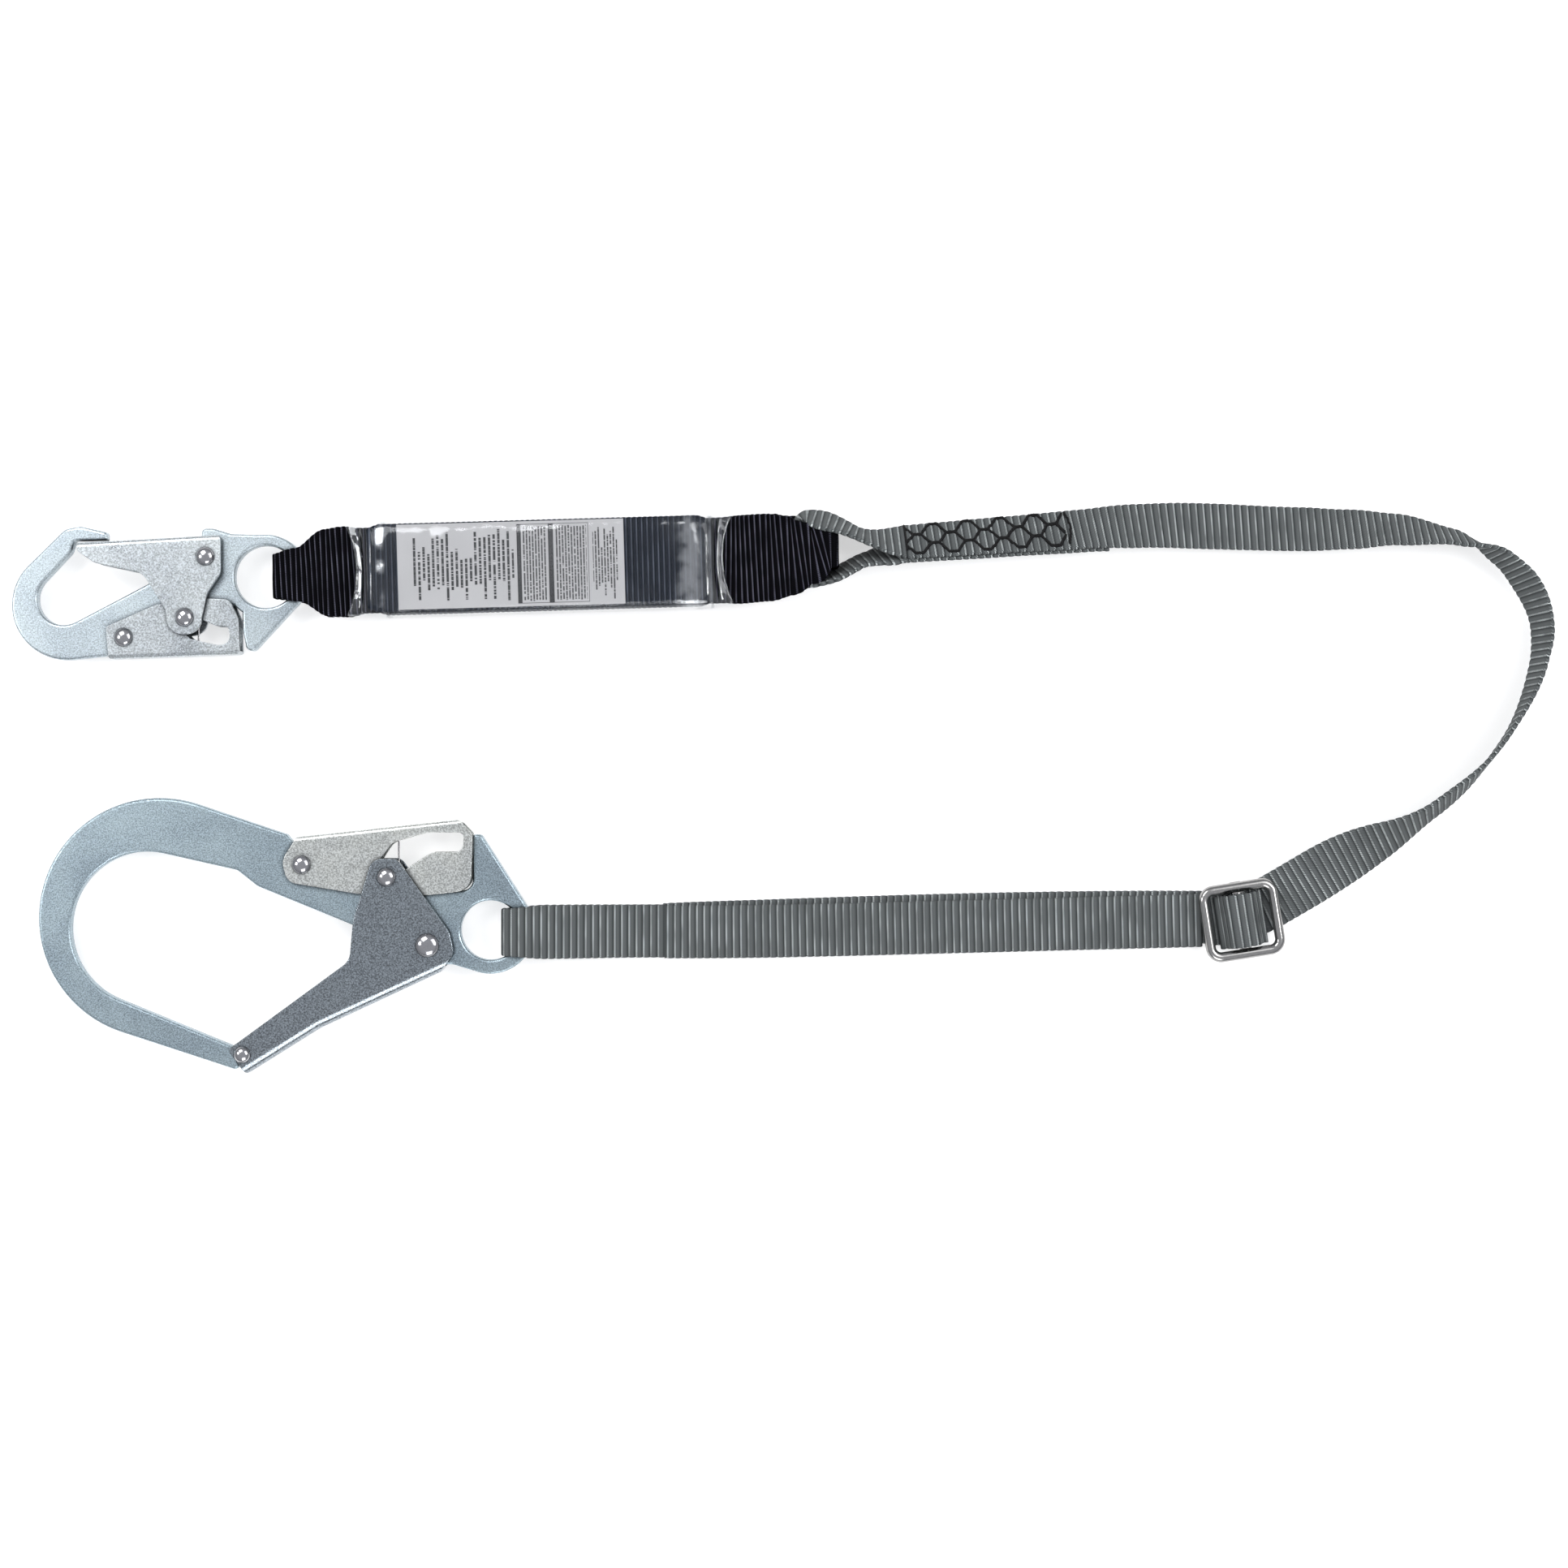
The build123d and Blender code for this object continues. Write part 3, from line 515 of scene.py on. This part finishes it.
def mesh_piece(name, verts, faces, uvs, material, smooth=True):
    """A mesh object with a UV for each vertex."""
    mesh = bpy.data.meshes.new(name)
    mesh.from_pydata([tuple(v) for v in verts], [], faces)
    layer = mesh.uv_layers.new(name="UVMap")
    for loop in mesh.loops:
        layer.data[loop.index].uv = uvs[loop.vertex_index]
    if smooth:
        mesh.polygons.foreach_set("use_smooth", [True] * len(mesh.polygons))
    mesh.materials.append(material)
    mesh.validate()
    piece = bpy.data.objects.new(name, mesh)
    bpy.context.collection.objects.link(piece)
    return piece


def flat_across(line, tilts):
    """Across vectors of a strap that is tilted by degrees about its travel, one for each point."""
    return [tilted_across(travel_at(line, i), tilt) for i, tilt in enumerate(tilts)]


# ---------------------------------------------------------------- leg

# The middle line of the free run of webbing, in metres, from the sewn eye to the adjuster
LEG_ROUTE = [(0.1224, 0.1170, 0.0118), (0.1720, 0.1206, 0.0114), (0.2340, 0.1256, 0.0090),
             (0.2700, 0.1250, 0.0072), (0.3160, 0.1232, 0.0076), (0.3660, 0.1236, 0.0122),
             (0.4040, 0.1140, 0.0138), (0.4260, 0.0840, 0.0138), (0.4210, 0.0490, 0.0138),
             (0.4000, 0.0120, 0.0138), (0.3670, -0.0155, 0.0125), (0.3340, -0.0320, 0.0052),
             (0.3080, -0.0480, 0.0031), (0.2860, -0.0605, 0.0035), (0.2655, -0.0629, 0.0035)]
# Distance along the run in metres, and the tilt of the strap there in degrees
LEG_TILTS = [(0.0, -48), (0.045, -44), (0.085, -39), (0.110, -31), (0.142, -26), (0.190, -30),
             (0.211, -38), (0.234, -50), (0.262, -68), (0.286, -94), (0.302, -100), (0.326, -94),
             (0.342, -89), (0.380, -79), (0.428, -68), (0.498, 0)]

# The sewn eye: x, y and z in millimetres, tilt in degrees, width in millimetres
EYE_STATIONS = [(122.4, 115.2, 10.2, 48, 25), (115, 111.6, 11.4, 58, 25), (108.4, 109.6, 12.2, 69, 25),
                (102, 108.0, 12.7, 73, 25), (95.6, 104.7, 12.9, 73, 25), (89.2, 101.2, 13.2, 73, 24),
                (83, 98.7, 13.4, 75, 20), (77.4, 97.2, 13.5, 76, 16), (73.4, 98.4, 13.5, 68, 12),
                (72.0, 103, 13.5, 42, 11), (71.2, 112, 13.5, 20, 14), (70.8, 120, 13.5, 50, 12),
                (71.4, 126.6, 13.5, 96, 14), (75.2, 128.6, 13.5, 110, 20), (80.3, 127.7, 13.6, 114, 24),
                (85.9, 126.4, 13.6, 114, 25), (92.3, 124.2, 13.6, 110, 25), (99.2, 121.1, 13.5, 107, 25),
                (103.9, 119.4, 13.3, 109, 25), (108.3, 118.3, 12.9, 113, 25), (114, 117.4, 12.4, 121, 25),
                (122.4, 117.0, 11.8, 132, 25)]

LAP_END = 0.2178              # where the strap's end, sewn below the run, stops along X


def leg_tilt(i, line):
    """Tilt in degrees at point i of the leg's line."""
    step = (line[1] - line[0]).length
    return interpolate(LEG_TILTS, i * step)[0]


def strap_normal(line, i, tilt):
    """Direction out of the strap's top face at point i of its line."""
    travel = travel_at(line, i)
    return travel.cross(tilted_across(travel, tilt)).normalized()


def leg_webbing(material):
    """The free run of webbing, which turns onto its edge round the bend."""
    line = spline_points(LEG_ROUTE, GREY_PITCH / 7)
    tilts = [leg_tilt(i, line) for i in range(len(line))]
    piece = strap("leg_webbing_run", line, flat_across(line, tilts), [WEB_WIDTH] * len(line), WEB_THICK,
                  GREY_PITCH, material, crumple=0.25 * MM)
    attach(piece, "leg")
    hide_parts("leg_webbing")
    return line


def catmull(rows, share):
    """A smooth row between the rows of numbers, share of the way through them."""
    spot = share * (len(rows) - 1)
    i = min(int(spot), len(rows) - 2)
    t = spot - i
    a, b, c, d = (rows[min(max(k, 0), len(rows) - 1)] for k in (i - 1, i, i + 1, i + 2))
    return [0.5 * (2 * q + (r - p) * t + (2 * p - 5 * q + 4 * r - s) * t * t
                   + (3 * q - p - 3 * r + s) * t * t * t) for p, q, r, s in zip(a, b, c, d)]


def leg_eye(leg_line, material):
    """The sewn eye, which folds lengthwise where it passes through the black loop."""
    steps = 340
    rows = [catmull(EYE_STATIONS, i / steps) for i in range(steps + 1)]
    line = [Vector(row[:3]) * MM for row in rows]
    level = [Vector((p.x, p.y, 0)) for p in line]
    acrosses = flat_across(level, [row[3] for row in rows])
    piece = strap("leg_eye_strap", line, acrosses, [row[4] * MM for row in rows], WEB_THICK, GREY_PITCH,
                  material, depth=0.22)
    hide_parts("leg_eye_loop")
    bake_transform(piece)

    lap_line = []
    lap_tilts = []
    for i, place in enumerate(leg_line):
        if place.x > LAP_END:
            break
        tilt = leg_tilt(i, leg_line)
        lap_tilts.append(tilt)
        lap_line.append(place - strap_normal(leg_line, i, tilt) * (WEB_HIGH - WEB_LOW))
    lap = strap("eye_lap_strap", lap_line, flat_across(lap_line, lap_tilts),
                [WEB_WIDTH] * len(lap_line), WEB_THICK, GREY_PITCH, material, start=GREY_PITCH / 2)
    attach(lap, "leg")
    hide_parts("eye_end_lap")


def stitch_net(leg_line, material):
    """Lock stitching over the lap: three wavy rows that meet as a net of hexagons, and their ends."""
    random.seed(11)
    start_x, end_x = 0.1205, 0.2000
    period, rise, spread = 16 * MM, 3.7 * MM, 7.3 * MM
    stitch, strand_gap = 2.0 * MM, 0.4 * MM
    thread_radius = 0.52 * MM
    curve = bpy.data.curves.new("lock_stitching", "CURVE")
    curve.dimensions = "3D"
    curve.bevel_depth = thread_radius
    curve.bevel_resolution = 2

    def surface(x, offset):
        """A point on the strap's top face at x, offset sideways from its middle."""
        near = min(range(1, len(leg_line) - 1), key=lambda i: abs(leg_line[i].x - x))
        normal = strap_normal(leg_line, near, leg_tilt(near, leg_line))
        across = normal.cross(travel_at(leg_line, near))
        return leg_line[near] + normal * (WEB_THICK / 2 + 0.05 * MM) + across * offset

    def add_thread(points):
        spline = curve.splines.new("POLY")
        spline.points.add(len(points) - 1)
        for target, place in zip(spline.points, points):
            target.co = (*place, 1)

    def wave(x):
        """From -1 to 1 and back over a period, level at each end like the side of a hexagon."""
        turn = ((x - start_x) / period) % 1.0
        triangle = 4 * abs(turn - 0.5) - 1
        return max(-1.0, min(1.0, triangle * 1.9))

    for row, sign in ((1, 1), (0, -1), (-1, 1)):
        for strand in (-strand_gap, strand_gap):
            x = start_x
            while x < end_x - stitch:
                points = []
                for k in range(5):
                    here = x + stitch * 1.02 * k / 4
                    sink = 0.35 * MM * (2 * k / 4 - 1) ** 4
                    jitter = 0.22 * MM * random.uniform(-1, 1)
                    offset = row * spread + sign * rise * wave(here) + strand + jitter
                    points.append(surface(here, offset) - UP * sink)
                add_thread(points)
                x += stitch * 1.05
    for edge_x, reach, sign in ((end_x - 1 * MM, 10.4 * MM, 1), (start_x, 8.6 * MM, -1)):
        offset = -reach
        while offset < reach:
            bulge = 2.0 * MM * math.cos(offset / reach * math.pi / 2)
            a = surface(edge_x + sign * bulge, offset)
            b = surface(edge_x + sign * bulge, offset + 2.3 * MM)
            add_thread([a - UP * 0.2 * MM, (a + b) / 2, b - UP * 0.2 * MM])
            offset += 1.9 * MM
    piece = bpy.data.objects.new("lock_stitching", curve)
    bpy.context.collection.objects.link(piece)
    curve.materials.append(material)
    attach(piece, "leg")
    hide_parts("eye_stitching")


SLIDE_SLOPE = 0.0256          # the doubled webbing runs a little out of line with X
STRAIGHT_END = 0.0826


def return_route(start_x, height):
    """Route of one layer of the doubled webbing, from its start to the turn at the hook."""
    def on_slope(x):
        return ADJUSTER_CENTRE.y - SLIDE_SLOPE * (ADJUSTER_CENTRE.x - x)

    straight = [(x, on_slope(x), height) for x in (start_x, STRAIGHT_END + 0.05, STRAIGHT_END)]
    return straight + [(0.040, -0.0683, height), (0.008, -0.0683, height)]


def return_webs(material):
    """The doubled webbing between the adjuster and the scaffold hook, and its turn through the eye."""
    for name, node, start_x, height, bow in (
            ("return_web_upper", "return_web_top", 0.2645, WEB_HIGH, 0.0),
            ("return_web_lower", "return_web_bottom", 0.2826, WEB_LOW, 3.2 * MM)):
        line = spline_points(return_route(start_x, height), GREY_PITCH / 7)
        top = max(p.x for p in line)
        bows = [bow * math.sin(math.pi * min(max(p.x / top, 0), 1)) ** 0.5 for p in line]
        line = [p + Vector((0, shift, 0)) for p, shift in zip(line, bows)]
        piece = strap(name, line, flat_across(line, [0] * len(line)), [WEB_WIDTH] * len(line), WEB_THICK,
                      GREY_PITCH, material, crumple=0.2 * MM)
        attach(piece, "leg")
        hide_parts(node)

    reach = HOOK_REACH + WEB_THICK / 2
    crest = (-74.04 + 6.1) * MM
    height_route = [(0.0081, WEB_HIGH), (-0.008, WEB_HIGH), (-0.030, 0.0100), (-0.050, HOOK_HEIGHT + reach),
                    (crest, HOOK_HEIGHT + reach), (crest, HOOK_HEIGHT), (crest, HOOK_HEIGHT - reach),
                    (-0.0515, HOOK_HEIGHT - reach), (-0.028, WEB_LOW), (0.0081, WEB_LOW)]
    line = spline_points([(x, -0.0679, z) for x, z in height_route], GREY_PITCH / 7)
    widths = [interpolate([(-0.069, 22.2 * MM), (-0.048, WEB_WIDTH)], p.x)[0] for p in line]
    acrosses = [Vector((0, 1, 0))] * len(line)
    piece = strap("hook_eye_strap", line, acrosses, widths, WEB_THICK, GREY_PITCH, material)
    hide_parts("hook_eye_turn")
    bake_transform(piece)


# ---------------------------------------------------------------- absorber pack

def place_in_pack(points):
    """Points given along, across and above the pack, in the frame."""
    return [PACK_PLACE @ p for p in points]


def pack_strap(name, route, plan, thickness, pitch, material, step_share=6, depth=0.3, crumple=0.0):
    """A strap that lies along the pack.

    Its side view is a route of x in millimetres and z in metres. From x and the share of the way along,
    plan gives the strap's middle and its width, both in millimetres.
    """
    line = spline_points([(x * MM, 0, z) for x, z in route], pitch / step_share)
    length = line_length(line)
    step = length / (len(line) - 1)
    widths = []
    for i, p in enumerate(line):
        middle, width = plan(p.x / MM, i * step / length)
        p.y = middle * MM
        widths.append(width * MM)
    placed = place_in_pack(line)
    across = PACK_PLACE.to_3x3() @ Vector((0, -1, 0))
    return strap(name, placed, [across] * len(line), widths, thickness, pitch, material, depth=depth,
                 crumple=crumple)


def end_loops(black, olive):
    """The two black loops that come out of the sleeve, and the lining of the leg end loop."""
    web_z = TEAR_THICK / 2 + 0.1 * MM
    mid = PACK_MIDDLE
    reach = HOOK_REACH + TEAR_THICK / 2
    crest = -126.6
    route = [(-58.5, mid + web_z), (-88, mid + web_z), (-99, mid + 3.2 * MM),
             (-110, HOOK_HEIGHT + reach + 0.4 * MM), (crest, HOOK_HEIGHT + reach), (crest, HOOK_HEIGHT),
             (crest, HOOK_HEIGHT - reach), (-106, HOOK_HEIGHT - reach), (-95, mid - web_z),
             (-58.5, mid - web_z)]
    hook_plan = [(-127, -1.3, 21.0), (-116, -1.0, 25.0), (-101, -0.6, 41.0), (-92, -0.3, 42.5),
                 (-84, 0.0, LOOP_WIDTH / MM)]
    piece = pack_strap("hook_end_strap", route, lambda x, share: interpolate(hook_plan, x), TEAR_THICK,
                       BLACK_PITCH, black, crumple=0.5 * MM)
    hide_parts("hook_end_loop")
    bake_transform(piece)

    half_web = TEAR_THICK / MM / 2
    crest = 140.8 - half_web
    reach = 8.85 * MM
    route = [(58.5, mid + web_z), (82, mid + web_z), (92, mid + 5.0 * MM), (106, mid + reach + 0.6 * MM),
             (crest - 3, mid + reach), (crest, mid + reach), (crest, mid), (crest, mid - reach),
             (crest - 3, mid - reach), (104, mid - reach), (90, mid - 3.0 * MM), (82, mid - web_z),
             (58.5, mid - web_z)]
    upper = [(84, 0.0, 40.0), (94, -0.3, 41.5), (108, 0.0, 41.0), (118, 0.4, 37.0), (128, 1.2, 28.5),
             (137, 2.8, 17.5), (141, 2.6, 14.5)]
    lower = [(84, 0.0, 40.0), (96, 1.0, 40.0), (112, 2.4, 40.0), (124, 3.6, 35.0), (134, 3.0, 22.0),
             (141, 2.6, 14.5)]
    piece = pack_strap("leg_end_strap", route,
                       lambda x, share: interpolate(upper if share < 0.5 else lower, x), TEAR_THICK,
                       BLACK_PITCH, black, crumple=0.7 * MM)
    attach(piece, "absorber")
    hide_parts("leg_end_loop")

    thick = 1.6 * MM
    pad_reach = reach - TEAR_THICK / 2 - 0.1 * MM - thick / 2
    pad_crest = crest - half_web - 0.1 - thick / MM / 2
    route = [(110, mid + pad_reach), (pad_crest - 3, mid + pad_reach), (pad_crest, mid + pad_reach),
             (pad_crest, mid), (pad_crest, mid - pad_reach), (pad_crest - 3, mid - pad_reach),
             (110, mid - pad_reach)]
    pad_plan = [(110, 1.0, 22.0), (124, 1.6, 19.0), (138, 2.6, 12.5)]
    piece = pack_strap("crest_lining", route, lambda x, share: interpolate(pad_plan, x), thick,
                       LINING_PITCH, olive, step_share=5)
    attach(piece, "absorber")
    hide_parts("loop_wear_pad")


def folded_web(name, node, base, material):
    """One stack of tear webbing, folded to and fro in three layers."""
    layers = 3
    flat_steps, bend_steps = 60, 12
    pitch = TEAR_THICK + 0.3 * MM
    bend = pitch / 2
    reach = STACK_HALF - bend - TEAR_THICK / 2
    line = []
    for layer in range(layers):
        height = base + TEAR_THICK / 2 + layer * pitch
        side = 1 if layer % 2 == 0 else -1
        for k in range(flat_steps + 1):
            line.append(Vector((side * (-reach + 2 * reach * k / flat_steps), 0, height)))
        if layer < layers - 1:
            for k in range(1, bend_steps):
                angle = -math.pi / 2 + math.pi * k / bend_steps
                line.append(Vector((side * (reach + bend * math.cos(angle)), 0,
                                    height + bend + bend * math.sin(angle))))
    line = evenly(line, BLACK_PITCH / 5)
    narrowing = [(74 * MM, 41 * MM), (STACK_HALF, 37.5 * MM)]
    widths = [interpolate(narrowing, abs(p.x))[0] for p in line]
    placed = place_in_pack(line)
    across = PACK_PLACE.to_3x3() @ Vector((0, 1, 0))
    piece = strap(name, placed, [across] * len(line), widths, TEAR_THICK, BLACK_PITCH, material,
                  depth=0.28, cells=6)
    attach(piece, "absorber")
    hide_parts(node)


def sleeve(material):
    """The film sleeve: a flattened tube, tight over the stack, pinched and creased at its open ends."""
    rings, around = 150, 96
    square_y, square_z = 0.42, 0.30
    pinches = [(0.0700, 0.0), (0.0785, 0.14), (0.0820, 0.50), (0.0865, 0.92), (SLEEVE_HALF, 1.0)]
    hollows = [(0.0800, 0.0), (SLEEVE_HALF, -5.0 * MM)]
    verts = []
    uvs = []
    for skin in (0.0, FILM_WALL):
        for i in range(rings + 1):
            x = -SLEEVE_HALF + 2 * SLEEVE_HALF * i / rings
            pinch = interpolate(pinches, abs(x))[0]
            hollow = interpolate(hollows, abs(x))[0]
            half_y = (22.6 - 0.7 * pinch) * MM - skin
            half_z = (13.3 - 6.2 * pinch) * MM - skin
            for j in range(around):
                angle = 2 * math.pi * j / around
                c, s = math.cos(angle), math.sin(angle)
                y = half_y * math.copysign(abs(c) ** square_y, c)
                z = half_z * math.copysign(abs(s) ** square_z, s)
                place = Vector((x * 38, y * 55, z * 30))
                crease = noise.noise(place) + 0.5 * noise.noise(place * 2.3 + Vector((5, 1, 2)))
                diagonal = math.sin((x * 1.0 + y * 2.2) * 320 + 3 * noise.noise(Vector((x * 20, y * 20, 1))))
                swell = 0.28 * MM * crease + 0.22 * MM * pinch * diagonal
                inward = Vector((0, -c, -s)) * abs(swell)
                trim = hollow * (1 - (y / half_y) ** 2) * math.copysign(1, x)
                verts.append(PACK_PLACE @ (Vector((x + trim, y, z + PACK_MIDDLE)) + inward))
                uvs.append((x, angle * 0.02))
    faces = []
    shell = (rings + 1) * around
    for i in range(rings):
        for j in range(around):
            k = (j + 1) % around
            a, b, c, d = i * around + j, (i + 1) * around + j, (i + 1) * around + k, i * around + k
            faces.append((d, c, b, a))
            faces.append((shell + a, shell + b, shell + c, shell + d))
    for i, flip in ((0, False), (rings, True)):
        for j in range(around):
            k = (j + 1) % around
            quad = (i * around + j, shell + i * around + j, shell + i * around + k, i * around + k)
            faces.append(tuple(reversed(quad)) if flip else quad)
    piece = mesh_piece("film_sleeve", verts, faces, uvs, material)
    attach(piece, "absorber")
    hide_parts("clear_sleeve")


def label(material):
    """The card under the film, slightly bowed."""
    columns, rows = 60, 20
    card = 0.3 * MM
    middle = (LABEL_LOW + LABEL_HIGH) / 2
    verts = []
    uvs = []
    for skin in (card, 0.0):
        for i in range(columns + 1):
            x = LABEL_LOW + (LABEL_HIGH - LABEL_LOW) * i / columns
            for j in range(rows + 1):
                y = LABEL_HALF * (2 * j / rows - 1)
                bow = 0.12 * MM * noise.noise(Vector((x * 40, y * 40, 2)))
                verts.append(PACK_PLACE @ Vector((x, y, LABEL_HEIGHT + skin + bow)))
                uvs.append((x - middle, y))
    faces = []
    sheet = (columns + 1) * (rows + 1)
    stride = rows + 1
    for i in range(columns):
        for j in range(rows):
            a = i * stride + j
            faces.append((a, a + stride, a + stride + 1, a + 1))
            faces.append((sheet + a + 1, sheet + a + stride + 1, sheet + a + stride, sheet + a))
    rim = [i * stride for i in range(columns + 1)] + [columns * stride + j for j in range(1, rows + 1)]
    rim += [i * stride + rows for i in range(columns - 1, -1, -1)] + [j for j in range(rows - 1, 0, -1)]
    for a, b in zip(rim, rim[1:] + rim[:1]):
        faces.append((a, sheet + a, sheet + b, b))
    piece = mesh_piece("printed_card", verts, faces, uvs, material, smooth=False)
    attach(piece, "absorber")
    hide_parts("label_card")


# ---------------------------------------------------------------- adjuster webbing

def adjuster_straps(material):
    """The webbing that goes over the adjuster's bar, and its layer close round the bar."""
    turn = Matrix.Translation(ADJUSTER_CENTRE) @ Matrix.Rotation(math.radians(ADJUSTER_TURN), 4, "Z")
    arch = 2.1 * MM
    foot = WEB_HIGH + WEB_THICK / 2 + 0.15 * MM + arch / 2
    crown = BAR_HEIGHT + BAR_CLEAR + 1.5 * arch + 0.1 * MM
    hump = [(-11.3, foot), (-8.6, foot), (-7.2, foot + 3 * MM), (-5.6, crown), (0, crown + 0.2 * MM),
            (5.6, crown), (7.2, foot + 3 * MM), (8.6, foot), (11.3, foot)]
    radius = BAR_CLEAR + arch / 2
    steps = 12
    wrap = []
    for k in range(steps + 1):
        angle = math.radians(-28 + 236 * k / steps)
        wrap.append((radius / MM * math.cos(angle), BAR_HEIGHT + radius * math.sin(angle)))
    for name, node, route, side in (("bar_strap_over", "adjuster_hump", hump, 1),
                                    ("bar_strap_round", "adjuster_bar_wrap", wrap, -1)):
        line = spline_points([(x * MM, 0, z) for x, z in route], GREY_PITCH / 10)
        placed = [turn @ p for p in line]
        across = turn.to_3x3() @ Vector((0, side, 0))
        piece = strap(name, placed, [across] * len(line), [WEB_WIDTH] * len(line), arch, GREY_PITCH * 0.85,
                      material, depth=0.35, crumple=0.25 * MM)
        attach(piece, "adjuster_bar")
        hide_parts(node)


# ---------------------------------------------------------------- metal

def domed_rivet(node, body, material):
    """A pin with a full dome on each end, where the CAD rivet stands."""
    low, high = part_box(node)
    centre = (low + high) / 2
    radius = (high.x - low.x) / 2
    seat = (high.z - low.z) / 2 - HEAD_HEIGHT
    around = 48
    profile = [(radius * math.cos(math.radians(angle)), seat + HEAD_HEIGHT * math.sin(math.radians(angle)))
               for angle in range(85, 14, -5)]
    profile += [(radius, seat + 0.55 * MM), (radius, seat + 0.1 * MM), (radius - 0.1 * MM, seat),
                (PIN_RADIUS, seat)]
    profile += [(r, -z) for r, z in reversed(profile)]
    verts = [centre + Vector((0, 0, seat + HEAD_HEIGHT))]
    for r, z in profile:
        for k in range(around):
            angle = 2 * math.pi * k / around
            verts.append(centre + Vector((r * math.cos(angle), r * math.sin(angle), z)))
    verts.append(centre - Vector((0, 0, seat + HEAD_HEIGHT)))
    faces = [(0, 1 + k, 1 + (k + 1) % around) for k in range(around)]
    for ring in range(len(profile) - 1):
        base = 1 + ring * around
        for k in range(around):
            turn = (k + 1) % around
            faces.append((base + k, base + around + k, base + around + turn, base + turn))
    last = 1 + (len(profile) - 1) * around
    faces += [(len(verts) - 1, last + (k + 1) % around, last + k) for k in range(around)]
    dome = mesh_piece(node + "_domed", verts, faces, [(v.x, v.y) for v in verts], material)
    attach(dome, body)
    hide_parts(node)


def dress_metal():
    """Better materials for the CAD nodes that stay."""
    rivet = metal_material("rivet_steel", (0.42, 0.42, 0.44), 0.13, 1800.0, 0.05, 0.1, 0.04, plate=False)
    zinc = metal_material("zinc_plate", (0.43, 0.49, 0.53), 0.33, 1600.0, 0.36)
    steel_blue = metal_material("blue_zinc_plate", (0.355, 0.435, 0.485), 0.33, 1600.0, 0.42)
    cover = metal_material("cover_plate", (0.48, 0.515, 0.54), 0.30, 1350.0, 0.40)
    warm_cover = metal_material("warm_cover_plate", (0.60, 0.62, 0.61), 0.30, 1350.0, 0.44)
    bright = metal_material("bright_plate", (0.30, 0.335, 0.365), 0.16, 1400.0, 0.52, 0.1, 0.5)
    rod = metal_material("rod_plate", (0.36, 0.355, 0.35), 0.20, 700.0, 0.04, 0.1, 0.03, plate=False)
    wire = metal_material("spring_wire", (0.35, 0.35, 0.36), 0.22, 2500.0, 0.05, 0.0, plate=False)
    thread = bpy.data.materials["black_thread"]
    tear = bpy.data.materials["tear_webbing"]
    looks = {
        "snap_hook_body": zinc, "snap_gate": cover, "snap_lock_lever": cover, "rebar_hook_body": steel_blue,
        "rebar_lock_lever": warm_cover, "rebar_gate": bright, "adjuster_frame": rod, "adjuster_bar": rod,
        "snap_torsion_spring": wire, "rebar_torsion_spring": wire, "backup_web": tear,
        "hook_end_bartack": thread, "leg_end_bartack": thread,
    }
    for node, piece in frame["nodes"].items():
        if node.endswith("roller"):
            material = wire
        elif node.endswith("rivet"):
            domed_rivet(node, piece["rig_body"], rivet)
            continue
        elif node in looks:
            material = looks[node]
        else:
            continue
        for slot in piece.material_slots:
            slot.material = material


studio()
# The first colour of each webbing is its ground colour, darkened by painted shade for the grooves between its
# ribs.
grey = webbing_material("grey_webbing", (0.020, 0.023, 0.024), (0.112, 0.121, 0.123), (0.56, 0.60, 0.60),
                        GREY_PITCH, YARN)
black = webbing_material("black_webbing", (0.0003, 0.0003, 0.0005), (0.0022, 0.0022, 0.0034),
                         (0.13, 0.13, 0.175), BLACK_PITCH, YARN, 0.03)
olive = webbing_material("lining_webbing", (0.006, 0.006, 0.003), (0.020, 0.018, 0.009), (0.03, 0.028, 0.015),
                         LINING_PITCH, LINING_YARN)
tear = webbing_material("tear_webbing", (0.0010, 0.0016, 0.0030), (0.010, 0.014, 0.023), (0.13, 0.15, 0.20),
                        BLACK_PITCH, YARN, 0.08)
thread = thread_material()
leg_line = leg_webbing(grey)
leg_eye(leg_line, grey)
stitch_net(leg_line, thread)
return_webs(grey)
end_loops(black, olive)
folded_web("tear_stack_lower", "tear_web_lower", LOWER_STACK, tear)
folded_web("tear_stack_upper", "tear_web_upper", UPPER_STACK, tear)
sleeve(film_material())
label(label_material())
adjuster_straps(grey)
dress_metal()
